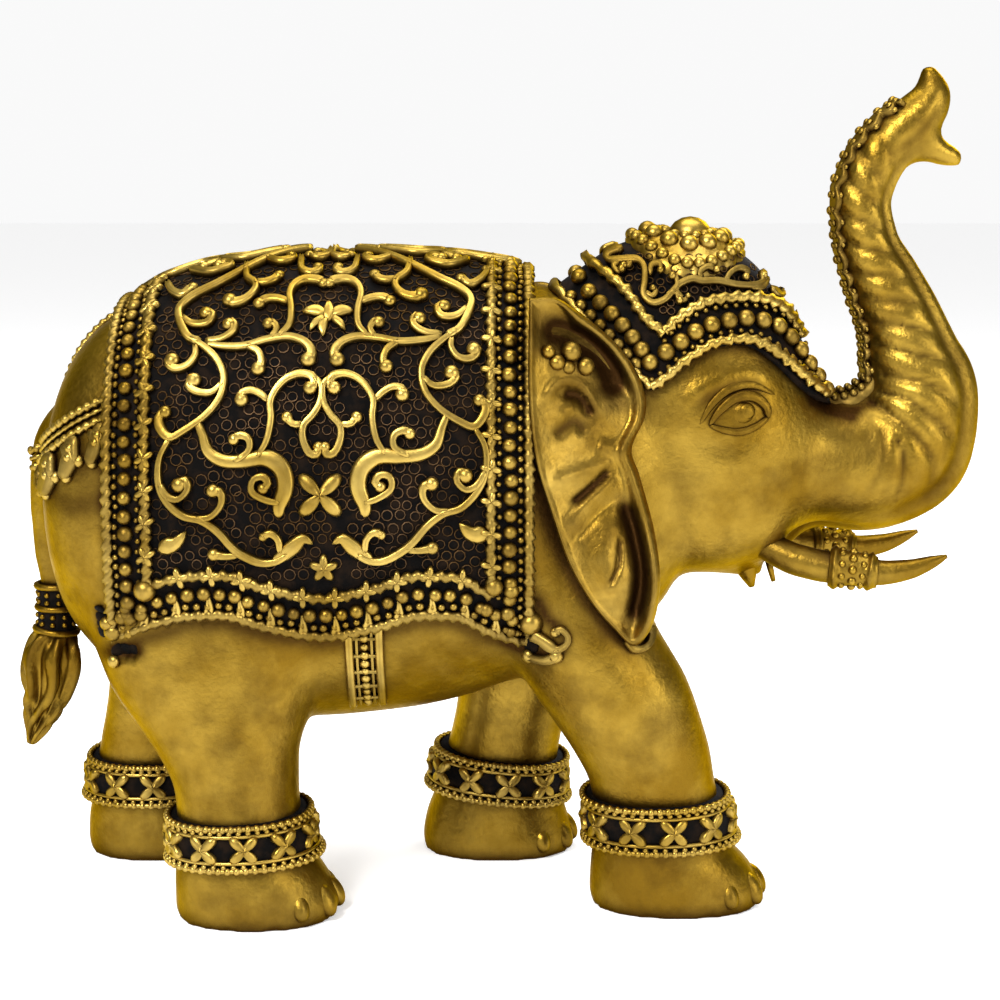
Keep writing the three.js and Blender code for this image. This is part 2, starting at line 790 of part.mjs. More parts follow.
function girthStrap() {
  const half = strapWidth / 2;
  const profile = [[-half, -1], [-half + 0.3, strapLift], [-half * 0.55, strapLift], [-half * 0.45, strapLift * 0.4],
    [half * 0.45, strapLift * 0.4], [half * 0.55, strapLift], [half - 0.3, strapLift], [half, -1]];
  const reach = hemDistance(strapMiddle) - hemBorder / 2;
  const section = sectionDown(strapMiddle);
  const bottom = section[section.length - 1].length;
  const downs = [...spread(reach, bottom, 8).slice(0, -1), ...spread(-bottom, -reach, 8)];
  return loft(downs.map((down) => profile.map(([across, lift]) => clothPoint(strapMiddle + across, down, lift))));
}

// Eyes: a lid ridge around the ball

function eyeSolid(side) {
  const sunk = 0.4; // how deep the ball's middle lies in the cheek
  const middle = sideView(eyePlace);
  middle.y = side * (headSide(middle.x, middle.z, 0) - sunk);
  const radii = new THREE.Vector3(eyeLength / 2, eyeLift + sunk, eyeHeight / 2);
  return ellipsoid(middle, radii, 8, 3);
}

// Everything joined into the one casting

function joined() {
  const solids = [
    torsoSolid(), headSolid(0, headSides), trunkSolid(), fingerSolid(), jawSolid(), tailSolid(), tailRing(),
    ...legs.map(legSolid), ...legs.map(ankletSolid), ...legs.flatMap(toeNails),
    ...[-1, 1].flatMap((side) => [earSolid(side), tuskSolid(side), cuffSolid(side), eyeSolid(side)]),
    clothSolid(),
    ...scrolls(),
    capSolid(), capBand(), capBoss(), trunkBand(), bandFoot(), girthStrap(),
  ];
  return solids.reduce((whole, solid) => whole.add(solid));
}

function toGeometry(solid) {
  const mesh = solid.getMesh();
  const geometry = new THREE.BufferGeometry();
  geometry.setAttribute('position', new THREE.BufferAttribute(new Float32Array(mesh.vertProperties), 3));
  geometry.setIndex(new THREE.BufferAttribute(new Uint32Array(mesh.triVerts), 1));
  return geometry;
}

// The origin is under the middle of the figure, on the ground
function centred(geometry) {
  geometry.computeBoundingBox();
  const { min, max } = geometry.boundingBox;
  return geometry.translate(-(min.x + max.x) / 2, -(min.y + max.y) / 2, -min.z);
}

const brass = new THREE.MeshStandardMaterial({ color: 0xb8902f, roughness: 0.34, metalness: 1 });
const elephant = new THREE.Mesh(centred(toGeometry(joined())), brass);
elephant.name = 'elephant';

const figurine = new THREE.Group();
figurine.add(elephant);

export default figurine;
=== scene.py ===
"""Looks of the brass elephant: one casting with a saddle cloth, cap, anklets and harness in fine relief.

The forms are drawn in millimetres in the frame of the part's tables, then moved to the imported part's frame.
+X points to the trunk, +Y to the elephant's left side, +Z up. The camera looks at the right side (-Y).
"""

import math

import bmesh
import bpy
import numpy as np
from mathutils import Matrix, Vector
from mathutils.bvhtree import BVHTree


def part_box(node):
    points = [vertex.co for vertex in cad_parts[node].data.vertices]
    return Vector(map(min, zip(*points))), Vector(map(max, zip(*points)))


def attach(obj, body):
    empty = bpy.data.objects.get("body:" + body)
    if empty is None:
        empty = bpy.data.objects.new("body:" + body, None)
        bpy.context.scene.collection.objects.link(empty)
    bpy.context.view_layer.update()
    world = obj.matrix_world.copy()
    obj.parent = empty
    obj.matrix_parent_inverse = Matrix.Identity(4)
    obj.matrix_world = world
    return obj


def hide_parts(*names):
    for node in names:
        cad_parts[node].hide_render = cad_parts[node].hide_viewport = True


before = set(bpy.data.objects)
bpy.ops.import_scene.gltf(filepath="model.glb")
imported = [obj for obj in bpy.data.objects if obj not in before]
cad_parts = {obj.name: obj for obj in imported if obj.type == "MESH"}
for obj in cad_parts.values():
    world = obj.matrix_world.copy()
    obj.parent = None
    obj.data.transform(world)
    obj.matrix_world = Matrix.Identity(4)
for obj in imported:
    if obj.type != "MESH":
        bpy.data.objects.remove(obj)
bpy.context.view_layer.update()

# Driving sizes, in millimetres

drawn_front = 99.37  # the bend of the trunk in the drawing
cloth_lift = 1.6  # the dark ground of the cloth above the hide
cloth_rear = -76.5
cloth_front = 5.6
scroll_height = 1.9  # a scroll above the ground
scroll_half = 0.6  # half the width of a thin scroll
ring_radius = 1.05  # small rings that fill the ground
ring_wire = 0.17
bead_radius = 1.35
border_lift = 2.5  # rims of the cloth's border above the hide
rim_radius = 0.95
cap_lift = 1.5  # the cap's ground above the scalp
anklet_lift = 1.9  # the anklets' rims above the leg
body_voxel = 0.97  # size of the body's mesh cells
tuft_start = 5.15  # places along the tail: where its tuft begins
tail_skin_end = 5.4  # and where its skin ends, inside the tuft
strap_x = -26.9  # middle of the girth strap
strap_half = 3  # half its width
strap_end = 112  # how far down from the ridge it runs, to the belly's middle
ring_pitch = 2.55
ring_share = 0.86  # of the places for small rings that have one
ring_scatter = 0.22  # how far off its place a ring may sit
rings_from_rear = 10  # the small rings stop this far from the cloth's edges
rings_from_front = 8
rings_from_hem = 9.5
rings_reach = 78  # how far down the rows of rings go at most
rear_inset = 0.4  # from the cloth's edge to the middle of the rim beside it
front_inset = 0.6
hem_inset = 0.6
rear_border = 8  # from the cloth's edge to the inner rim
front_border = 7.6
hem_border = 8.6
ear_thickness = 3.2

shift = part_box("elephant")[1].x * 1000 - drawn_front
random = np.random.default_rng(7)

sides = ((-1, "right"), (1, "left"))

# Tables of the figure

torso_table = [
    (-94.4, 88.5, 80.5, 5, 86), (-93.4, 93, 74.5, 12.5, 86), (-91.6, 101.6, 65, 20, 86),
    (-89.4, 108.8, 58.5, 24.2, 86), (-86, 114.8, 53, 27.4, 86), (-80.5, 120, 47.5, 30.3, 86),
    (-74, 123, 44, 32.2, 85), (-66, 127.5, 41, 33.5, 84), (-56, 130, 38, 34.4, 84),
    (-40, 131.9, 36.5, 35, 84), (-20, 131.9, 38.3, 35, 84), (-8, 130.9, 40.8, 34.2, 84),
    (0, 129.8, 43.5, 33.5, 84), (12, 126, 47, 30, 85), (24, 124, 52, 25, 86), (36, 122, 62, 19, 88),
]  # place along X, top, bottom, half width, height of the widest point

head_table = [
    (67, 37, 48, 5), (69.2, 30, 54.6, 11), (73, 25, 61, 16), (78, 22, 65, 18.5), (86, 19, 68, 20.5),
    (94, 17, 69, 21.5), (102, 14, 67.5, 21.5), (110, 12, 63.8, 20.5), (118, 10.5, 60, 18.5),
    (125, 12, 56.3, 15.5), (131, 18.8, 52, 11.5), (135.1, 24.8, 46.4, 7), (137.1, 31, 41, 2.5),
]  # height, rear, front, half width

trunk_table = [
    (0, 58, 92, 13.6, 15.5), (1, 66, 90.2, 13.6, 15), (2, 75.5, 89.8, 14.3, 14),
    (3, 84.3, 93.4, 13.9, 13), (4, 87.2, 105, 12, 11.8), (5, 85.2, 113, 9.9, 10.1),
    (6, 83, 120, 8.4, 8.8), (7, 79.2, 128, 7.5, 7.6), (8, 75.7, 136, 6.2, 6.6), (9, 74.4, 144, 5.8, 6),
    (10, 76.5, 150.8, 6, 5.8), (11, 80.4, 156.3, 5.9, 5.7), (12, 85.2, 160.8, 5.5, 5.4),
    (13, 88.2, 166, 3.9, 4.2), (14, 87.2, 171.4, 1.2, 1.6),
]  # place along its length, X and Z of its middle, half thickness, half width

finger_table = [
    (0, 81, 155, 4, 4.5), (1, 86, 155.2, 3.2, 4), (2, 90.6, 153.8, 2.8, 3.2), (3, 94.8, 152.4, 1.4, 1.7),
]
jaw_table = [
    (0, 40, 71.5, 4.5, 11), (1, 47, 69.8, 3.4, 8.5), (2, 52.5, 67.8, 2.2, 5), (3, 56, 66.4, 0.9, 2),
]

leg_tables = {
    "right_front": [
        (0, 19.2, 53.6, -16, 12.4), (3, 18.6, 54.4, -16, 13), (8, 18.8, 52, -16, 12.9),
        (13, 19.2, 47.8, -16.2, 12.5), (20, 19.4, 45.8, -16.8, 12.4), (26, 18.4, 44.2, -17.4, 12.6),
        (33, 15, 43, -18.2, 13), (40, 10.5, 41, -19, 13.6), (48, 5, 38.2, -19.4, 14),
        (60, 1, 31.4, -18.6, 14.6), (74, 4, 25, -16, 14.5)],
    "right_hind": [
        (0, -65.7, -33.8, -23.4, 12.6), (3, -66.2, -32.8, -23.4, 13.1), (8, -66.2, -35, -23.4, 13),
        (13, -65.9, -38.2, -23, 12.5), (20, -65.7, -40.4, -22.6, 12.3), (26, -66.2, -41, -21.8, 12.4),
        (33, -69.2, -40.9, -21.4, 12.8), (40, -74.2, -39, -20.8, 13.3), (48, -79.8, -35, -19.8, 14.1),
        (60, -83.9, -30, -18, 15.6), (74, -88.5, -34, -14.5, 16.5)],
    "left_front": [
        (0, -16.8, 15.9, 21.6, 12.4), (3, -17.2, 16.4, 21.6, 13), (8, -16.4, 15, 21.6, 12.9),
        (13, -14.6, 13.6, 21.6, 12.5), (20, -12.8, 12.8, 21.5, 12.3), (26, -11, 13.6, 21.2, 12.4),
        (33, -9.6, 15.2, 20.8, 12.8), (40, -8.8, 19, 20.4, 13.4), (48, -7, 25, 19.8, 14),
        (60, -2, 29, 18.8, 14.6), (74, 3, 26, 16, 14.5)],
    "left_hind": [
        (0, -91.6, -60.6, 21.4, 12.4), (3, -92.2, -59.8, 21.4, 13), (8, -92, -61.6, 21.4, 12.9),
        (13, -91, -63.8, 21.4, 12.5), (20, -89.8, -65.4, 21.4, 12.3), (26, -88.8, -65.6, 21.2, 12.4),
        (33, -87.4, -64.6, 20.8, 12.8), (40, -86.6, -61, 20.4, 13.3), (48, -86.8, -56, 19.8, 14.1),
        (60, -89.4, -46, 18, 15.6), (74, -91.5, -46, 14.5, 16.5)],
}  # height, rear, front, Y of the middle, half width

tail_table = [
    (0, -91, 101, 3.6, 5), (1, -94.6, 93, 3.9, 4.6), (2, -95.2, 82, 3.8, 4.2), (3, -94.7, 72, 3.6, 3.9),
    (4, -93.7, 64, 3.4, 3.7), (5, -93.9, 56, 3.3, 3.6), (6, -95.2, 48, 5.8, 5.2),
    (7, -96.8, 39.5, 4.2, 4), (8, -100.2, 29.4, 0.9, 1.2),
]
tusk_table = [
    (0, 48, 77.5, 8, 2.4), (1, 61, 71.3, 12.5, 3.3), (2, 67.2, 70.1, 13.7, 3.3),
    (3, 72.5, 69.8, 14.6, 3), (4, 77.6, 69.2, 15.3, 2.6), (5, 83.1, 69.9, 15.7, 2.1),
    (6, 88, 71.5, 15.8, 1.3), (7, 91, 72.7, 15.7, 0.4),
]  # place along it, X, Z, distance from the middle plane, radius

ear_outline = [
    (5.6, 126), (11.5, 125.6), (19.3, 119.9), (24.6, 114.6), (28.4, 108), (28.8, 102.4), (26, 96),
    (27.6, 90.6), (30.4, 80), (31.4, 70), (30, 62), (26.5, 57.8), (22.5, 61), (17.7, 66.8), (13.4, 74.5),
    (9.8, 84.7), (6.8, 95), (5.5, 108),
]
ear_spine = [(13, 118), (17, 104), (18.5, 90), (22, 78), (25.5, 66)]
ear_front = 31  # the X for which ear_plane gives the distance
ear_plane = [(57, 33, 0.06), (70, 33, 0.1), (85, 28, 0.3), (98, 23.5, 0.45), (126, 19, 0.5)]
# Rows of ear_plane: height, distance from the middle plane, slant along X

hem_line = [
    (-79, 57), (-72, 60.5), (-61, 64), (-54, 64.3), (-46, 62), (-35, 60), (-24, 62), (-16, 64.3),
    (-9, 64), (-2, 60.5), (8, 56.8),
]
cap_edge = [
    (8, 128), (20, 116.5), (30.4, 107.2), (33.4, 109.5), (36.4, 112.1), (42.1, 115.4), (48, 116.1),
    (51.9, 114.9), (55.9, 112.1), (61.3, 107.3), (66, 104), (72, 101),
]


# Curves through the rows of a table, without overshoot

def make_curve(table):
    table = np.array(table, float)
    x = table[:, 0]
    span = np.diff(x)
    secant = np.diff(table[:, 1:], axis=0) / span[:, None]
    slope = np.zeros_like(table[:, 1:])
    slope[0], slope[-1] = secant[0], secant[-1]
    before, after = secant[:-1], secant[1:]
    total = np.where(before * after > 0, before + after, 1)
    slope[1:-1] = np.where(before * after > 0, 2 * before * after / total, 0)

    def at(place):
        place = np.asarray(place, float)
        i = np.clip(np.searchsorted(x, place, side="left") - 1, 0, len(x) - 2)
        s = np.clip((place - x[i]) / span[i], 0, 1)[..., None]
        width = span[i][..., None]
        start, end = table[i, 1:], table[i + 1, 1:]
        out, into = slope[i] * width, slope[i + 1] * width
        bend = 2 * start - 2 * end + out + into
        sag = 3 * end - 3 * start - 2 * out - into
        return ((bend * s + sag) * s + out) * s + start

    return at


torso = make_curve(torso_table)
head = make_curve(head_table)
trunk = make_curve(trunk_table)
finger = make_curve(finger_table)
jaw = make_curve(jaw_table)
tail = make_curve(tail_table)
tusk = make_curve(tusk_table)
hem = make_curve(hem_line)
ear_surface = make_curve(ear_plane)
legs = {name: make_curve(table) for name, table in leg_tables.items()}


# A shape is a list of points and a list of faces

class Shape:
    def __init__(self):
        self.points = []
        self.faces = []
        self.count = 0

    def add(self, points, faces):
        points = np.asarray(points, float).reshape(-1, 3)
        faces = np.asarray(faces, int)
        self.points.append(points)
        self.faces.extend((faces + self.count).tolist())
        self.count += len(points)

    def add_rings(self, rings, closed=True, ends=True, last=True):
        """Joins rings of points, given one behind the other, and fills the first and the last ring."""
        rings = np.asarray(rings, float)
        rows, sides = rings.shape[:2]
        index = np.arange(rows * sides).reshape(rows, sides)
        after = np.roll(index, -1, axis=1) if closed else index[:, 1:]
        here = index if closed else index[:, :-1]
        quads = np.stack([here[:-1], after[:-1], after[1:], here[1:]], -1).reshape(-1, 4)
        start = self.count
        self.add(rings, quads)
        if ends:
            self.faces.append((index[0][::-1] + start).tolist())
        if ends and last:
            self.faces.append((index[-1] + start).tolist())

    def add_copies(self, form, places, sizes, axes=None):
        """Copies of a small form at places, each with its size and with three axes if they are given."""
        points, faces = form
        places = np.asarray(places, float).reshape(-1, 3)
        sizes = np.broadcast_to(np.asarray(sizes, float), (len(places),))
        local = sizes[:, None, None] * points[None]
        if axes is not None:
            local = np.einsum("nij,njk->nik", local, np.asarray(axes))
        moved = local + places[:, None]
        faces = np.asarray(faces, int)
        every = faces[None] + (np.arange(len(places)) * len(points))[:, None, None]
        self.add(moved, every.reshape(-1, faces.shape[1]))


def sphere(sides=12, rows=8):
    rings = []
    for row in range(rows + 1):
        tilt = (row / rows - 0.5) * math.pi
        radius = max(math.cos(tilt), 0.02)
        turn = even_turns(sides)
        height = np.full(sides, math.sin(tilt))
        rings.append(np.stack([radius * np.cos(turn), radius * np.sin(turn), height], -1))
    shape = Shape()
    shape.add_rings(rings, ends=False)
    return np.concatenate(shape.points), shape.faces


def torus(major, minor, sides=14, around=5):
    turn = even_turns(sides)
    tilt = even_turns(around)
    ring = major + minor * np.cos(tilt)[None]
    points = np.stack([ring * np.cos(turn)[:, None], ring * np.sin(turn)[:, None],
                       np.broadcast_to(minor * np.sin(tilt)[None], (sides, around))], -1)
    index = np.arange(sides * around).reshape(sides, around)
    ahead, beside = np.roll(index, -1, 0), np.roll(index, -1, 1)
    both = np.roll(ahead, -1, 1)
    return points.reshape(-1, 3), np.stack([index, ahead, both, beside], -1).reshape(-1, 4)


def unit(v):
    return v / np.maximum(np.linalg.norm(v, axis=-1, keepdims=True), 1e-9)


def run(points):
    """Length of a line of points, up to each of them."""
    return np.concatenate([[0], np.cumsum(np.linalg.norm(np.diff(points, axis=0), axis=1))])


def sideways(places):
    """Direction across a flat path, at each of its points."""
    ahead = unit(np.gradient(places, axis=0))
    return np.stack([-ahead[:, 1], ahead[:, 0]], -1)


def as_arrays(*values):
    return np.broadcast_arrays(*(np.asarray(value, float) for value in values))


def smooth_path(points, step=0.6):
    """A Catmull-Rom curve through points, at even steps."""
    points = np.asarray(points, float)
    full = np.concatenate([[2 * points[0] - points[1]], points, [2 * points[-1] - points[-2]]])
    parts = []
    for i in range(1, len(full) - 2):
        a, b, c, d = full[i - 1 : i + 3]
        s = np.linspace(0, 1, 14, endpoint=False)[:, None]
        square, cube = 2 * a - 5 * b + 4 * c - d, 3 * b - a - 3 * c + d
        parts.append(0.5 * (2 * b + (c - a) * s + square * s**2 + cube * s**3))
    dense = np.concatenate(parts + [points[-1:]])
    length = run(dense)
    places = np.linspace(0, length[-1], max(3, int(length[-1] / step) + 1))
    return np.stack([np.interp(places, length, dense[:, i]) for i in range(dense.shape[1])], -1)


def even_turns(number, start=0.0):
    """Even angles once around, begun at a share of a step."""
    return (np.arange(number) + start) / number * 2 * math.pi


def rounded(turn, exponent):
    power = 2 / exponent
    c, s = np.cos(turn), np.sin(turn)
    return np.sign(c) * np.abs(c) ** power, np.sign(s) * np.abs(s) ** power


# Body

torso_exponent = 2.25
head_exponent = 2.3
leg_exponent = 2.2
full_turn = even_turns(96)


def torso_ring(x, turn):
    top, bottom, half, middle = torso(x)
    across, up = rounded(turn, torso_exponent)
    z = np.where(up > 0, middle + up * (top - middle), middle + up * (middle - bottom))
    return np.stack([np.full_like(z, x), across * half, z], -1)


def head_ring(z, lift, turn=full_turn):
    rear, front, half = head(min(z, head_table[-1][0]))
    along, across = rounded(turn, head_exponent)
    x = (rear + front) / 2 + along * ((front - rear) / 2 + lift)
    return np.stack([x, across * (half + lift), np.full_like(x, z)], -1)


def leg_ring(leg, z, lift, turn=full_turn):
    rear, front, y, half = leg(z)
    along, across = rounded(turn, leg_exponent)
    x = (rear + front) / 2 + along * ((front - rear) / 2 + lift)
    return np.stack([x, y + across * (half + lift), np.full_like(x, z)], -1)


def middle_frames(curve, places):
    """Middle, direction ahead and direction to the back of a limb that lies in the middle plane."""
    values = curve(places)
    middle = np.stack([values[:, 0], np.zeros(len(places)), values[:, 1]], -1)
    ahead = unit(np.gradient(middle, axis=0))
    up = np.stack([-ahead[:, 2], np.zeros(len(places)), ahead[:, 0]], -1)
    return middle, ahead, up, values[:, 2], values[:, 3]


def limb(shape, curve, places, turn=full_turn, swell=None):
    middle, ahead, up, thick, wide = middle_frames(curve, places)
    lift = np.zeros((len(places), len(turn))) if swell is None else swell
    rings = (middle[:, None] + up[:, None] * (np.cos(turn) * (thick[:, None] + lift))[..., None]
             + np.array([0, 1.0, 0]) * (np.sin(turn) * (wide[:, None] + lift))[..., None])
    shape.add_rings(rings)
    return rings


fold_pitch = 5.3
fold_height = 1.3
fold_slant = 0.5


def trunk_folds(points):
    """Height of the trunk's folds at points of the skin, and how dark the grooves between them are."""
    dense = np.linspace(0, trunk_table[-1][0], 900)
    middle, ahead, up, thick, wide = middle_frames(trunk, dense)
    length = run(middle)
    height, dark = np.zeros(len(points)), np.zeros(len(points))
    chosen = np.flatnonzero((points[:, 0] > 64) & (points[:, 2] > 74))
    flat = points[chosen][:, [0, 2]]
    nearest = np.concatenate([
        np.argmin(((part[:, None] - middle[None][:, :, [0, 2]]) ** 2).sum(2), axis=1)
        for part in np.array_split(flat, 40)
    ])
    out = ((points[chosen] - middle[nearest]) * up[nearest]).sum(1) / thick[nearest]
    across = points[chosen, 1] / wide[nearest]
    from_front = np.abs(np.arctan2(across, out))
    slanted = length[nearest] + fold_slant * thick[nearest] * (1 - np.cos(from_front))
    from_crest = 2 * np.abs((slanted / fold_pitch) % 1 - 0.5)
    window = np.interp(dense[nearest], [1.8, 2.8, 10.4, 11.4], [0, 1, 1, 0])
    window = window * np.interp(dense[nearest], [3, 6, 11], [1, 0.85, 0.6]) * (np.hypot(out, across) > 0.8)
    side = np.interp(from_front, [0.4, 0.75, 1.9, 2.2], [0, 1, 0.85, 0])
    groove = np.exp(-(((from_front - 2.3) / 0.14) ** 2))
    rim = np.exp(-(((from_front - 2.62) / 0.2) ** 2))
    height[chosen] = window * (fold_height * side * (0.4 - from_crest**3) + 0.7 * rim - 0.6 * groove)
    dark[chosen] = window * (0.6 * side * from_crest**6 + 0.4 * groove)
    return height, dark


def body_shape():
    shape = Shape()
    torso_places = np.linspace(torso_table[0][0], torso_table[-1][0], 140)
    shape.add_rings([torso_ring(x, full_turn) for x in torso_places])
    shape.add_rings([head_ring(z, 0) for z in np.linspace(head_table[0][0], head_table[-1][0], 80)])
    limb(shape, trunk, np.linspace(0, trunk_table[-1][0], 420))
    limb(shape, finger, np.linspace(0, finger_table[-1][0], 30))
    limb(shape, jaw, np.linspace(0, jaw_table[-1][0], 30))
    limb(shape, tail, np.linspace(0, tail_skin_end, 60))
    for name, leg in legs.items():
        shape.add_rings([leg_ring(leg, z, 0) for z in np.linspace(0, leg_tables[name][-1][0], 100)])
    return shape


# Turning shapes into objects

def new_object(name, mesh, material):
    obj = bpy.data.objects.new(name, mesh)
    bpy.context.scene.collection.objects.link(obj)
    mesh.materials.clear()
    mesh.materials.append(material)
    return obj


def to_mesh(name, shape):
    points = np.concatenate(shape.points) + np.array([shift, 0, 0])
    mesh = bpy.data.meshes.new(name)
    mesh.from_pydata((points * 0.001).tolist(), [], shape.faces)
    mesh.validate()
    mesh.polygons.foreach_set("use_smooth", np.ones(len(mesh.polygons), bool))
    return mesh


def piece(name, shape, material, tint=None):
    """A named piece of the elephant. The tint is how free each point is of painted shade and patina: 0 dark,
    1 polished.
    """
    mesh = to_mesh(name, shape)
    add_painted_shade_and_patina(mesh, np.ones(len(mesh.vertices)) if tint is None else tint)
    return finished(new_object(name, mesh, material))


def add_painted_shade_and_patina(mesh, clear_of_painted_shade_and_patina):
    layer = mesh.attributes.new("clear_of_painted_shade_and_patina", "FLOAT", "POINT")
    layer.data.foreach_set("value", np.asarray(clear_of_painted_shade_and_patina, np.float32))


def finished(obj):
    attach(obj, "root")
    return obj


def even_mesh(obj, voxel, keep=1.0):
    """One even skin over the joined forms of obj."""
    remesh = obj.modifiers.new("skin", "REMESH")
    remesh.mode = "VOXEL"
    remesh.voxel_size = voxel * 0.001
    if keep < 1:
        thinner = obj.modifiers.new("fewer", "DECIMATE")
        thinner.ratio = keep
    evaluated = obj.evaluated_get(bpy.context.evaluated_depsgraph_get())
    mesh = bpy.data.meshes.new_from_object(evaluated)
    obj.modifiers.clear()
    old = obj.data
    material = old.materials[0]
    obj.data = mesh
    bpy.data.meshes.remove(old)
    mesh.materials.clear()
    mesh.materials.append(material)
    return mesh


def relax(points, edges, weight, rounds):
    """Pulls each point towards the middle of its neighbours, as much as its weight says."""
    a, b = edges[:, 0], edges[:, 1]
    number = np.bincount(np.concatenate([a, b]), minlength=len(points))[:, None]
    for _ in range(rounds):
        total = np.stack([
            np.bincount(a, points[b, i], len(points)) + np.bincount(b, points[a, i], len(points))
            for i in range(3)
        ], -1)
        points = points + weight[:, None] * (total / number - points)
    return points


def near(points, centre, radii):
    """1 at the centre of a soft ellipsoid, falling to 0 outside it."""
    far = np.linalg.norm((points - np.array(centre)) / np.array(radii), axis=1)
    return np.exp(-(far**2))


def line_distance(points, path):
    """Distance of each point from a line, and the share of the line's length where it is nearest."""
    path = np.asarray(path, float)
    best = np.full(len(points), 1e9)
    share = np.zeros(len(points))
    for i in range(len(path) - 1):
        step = path[i + 1] - path[i]
        t = np.clip(((points - path[i]) @ step) / (step @ step), 0, 1)
        far = np.linalg.norm(points - path[i] - t[:, None] * step, axis=1)
        closer = far < best
        best = np.where(closer, far, best)
        share = np.where(closer, (i + t) / (len(path) - 1), share)
    return best, share


# Soft places where forms flow into each other: middle, radii, strength
blends = [
    ((60, 0, 92), (9, 24, 20), 1.0),
    ((52, -12, 74), (12, 10, 7), 0.6), ((52, 12, 74), (12, 10, 7), 0.6),
    ((14, -27, 62), (24, 12, 16), 1.0), ((14, 27, 62), (24, 12, 16), 1.0),
    ((-58, -27, 60), (32, 12, 18), 1.0), ((-60, 27, 60), (32, 12, 18), 1.0),
    ((14, 0, 62), (26, 26, 18), 1.0), ((-60, 0, 48), (36, 22, 14), 1.0),
    ((22, 0, 90), (12, 30, 40), 1.0), ((-92, 0, 92), (7, 9, 16), 0.8), ((82, 0, 155), (7, 5, 7), 0.6),
]

# Carved lines of the hide: a path in the side view, half width, depth (negative digs in)
hide_lines = [
    ([(58, 73), (61, 76), (66, 77), (71, 76.3), (76, 76)], 1.2, -1.3),
    ([(35, 104), (42, 107.6), (50, 109.6), (57, 107.5)], 2.2, 0.55),
    ([(38, 103), (43, 106.6), (49, 108), (53.5, 105.5)], 1.3, -0.55),
    ([(37, 98), (44, 95.4), (51, 96)], 1.8, -0.25),
    ([(31, 98), (36, 94), (44, 92)], 3, -0.3),
    ([(23, 58), (28, 50), (31, 42)], 2.5, -0.35),
    ([(3, 60), (8, 52), (14, 45)], 2.5, -0.4),
    ([(-36, 60), (-37, 50), (-40, 40)], 3, -0.4),
    ([(-16, 56), (-6, 50), (3, 46)], 2.2, -0.35),
    ([(-79.6, 64), (-79.2, 60)], 1.3, -1.5),
    ([(-76.5, 55.6), (-71.5, 56.2)], 1.2, -1.5),
    ([(90.3, 165.4), (88.5, 161.5), (86, 158.2), (83, 155.8), (79.5, 153.3)], 0.9, -0.9),
]


# Painted shade, in brown, on the hide next to raised parts: under the cloth's hem, beside its rear edge and
# corners, under the cap's edge, the crupper and its pendants and the ear's lower rear rim, and in the mouth
# line and the rear corner dents: a path in the side view, half width, how dark it is
painted_shade_paths = [
    ([(-94, 90), (-86, 92.5), (-78, 95)], 3.2, 0.75),
    ([(x, z - 2) for x, z in hem_line], 2.2, 0.8),
    ([(x, z - 0.6) for x, z in cap_edge[2:]], 1.3, 0.55),
    ([(cloth_rear - 1, 62), (cloth_rear - 1, 110)], 1.2, 0.5),
    ([(-79.6, 64), (-79.2, 60)], 1.5, 1.0),
    ([(-76.5, 55.6), (-71.5, 56.2)], 1.4, 1.0),
    ([(58, 73), (66, 77), (76, 76)], 1.4, 0.6),
    ([(63.5, 104), (67, 102), (71.5, 101.4), (76, 103.4)], 1.9, 1.0),
    ([(x - 0.8, z - 0.5) for x, z in ear_outline[11:]], 1.7, 0.85),
    ([(-90, 86.5), (-84, 85), (-78, 86.5)], 3.0, 0.7),
    ([(2, 57.5), (7, 55), (12, 56.5)], 1.6, 0.7),
    ([(7.6, 66), (9.4, 62.8), (11, 61.8)], 1.7, 1.0),
]


def vertex_values(mesh, name):
    values = np.zeros(len(mesh.vertices) * 3)
    mesh.vertices.foreach_get(name, values)
    return values.reshape(-1, 3)


def set_points(mesh, points):
    mesh.vertices.foreach_set("co", ((points + np.array([shift, 0, 0])) * 0.001).ravel())
    mesh.update()


def carving(points):
    """How far the hide's points move along their normals, and how free they are of painted shade and patina.
    """
    move = np.zeros(len(points))
    clear_of_painted_shade_and_patina = np.ones(len(points))
    outside = np.clip(np.abs(points[:, 1]) - 3, 0, 4) / 4
    for path, half, depth in hide_lines:
        far, share = line_distance(points[:, [0, 2]], smooth_path(path, 1.5))
        fade = np.clip(np.minimum(share, 1 - share) * 5, 0, 1)
        profile = np.exp(-((far / half) ** 2)) * fade * outside
        move += depth * profile
        if depth < -0.5:
            clear_of_painted_shade_and_patina -= 0.6 * profile
    folds, grooves = trunk_folds(points)
    move += folds
    clear_of_painted_shade_and_patina -= grooves
    # Painted shade, in brown, along the listed paths beside the raised parts
    for path, half, amount in painted_shade_paths:
        far, _ = line_distance(points[:, [0, 2]], np.array(path, float))
        clear_of_painted_shade_and_patina -= amount * np.exp(-((far / half) ** 2)) * outside
    return move, np.clip(clear_of_painted_shade_and_patina, 0, 1)


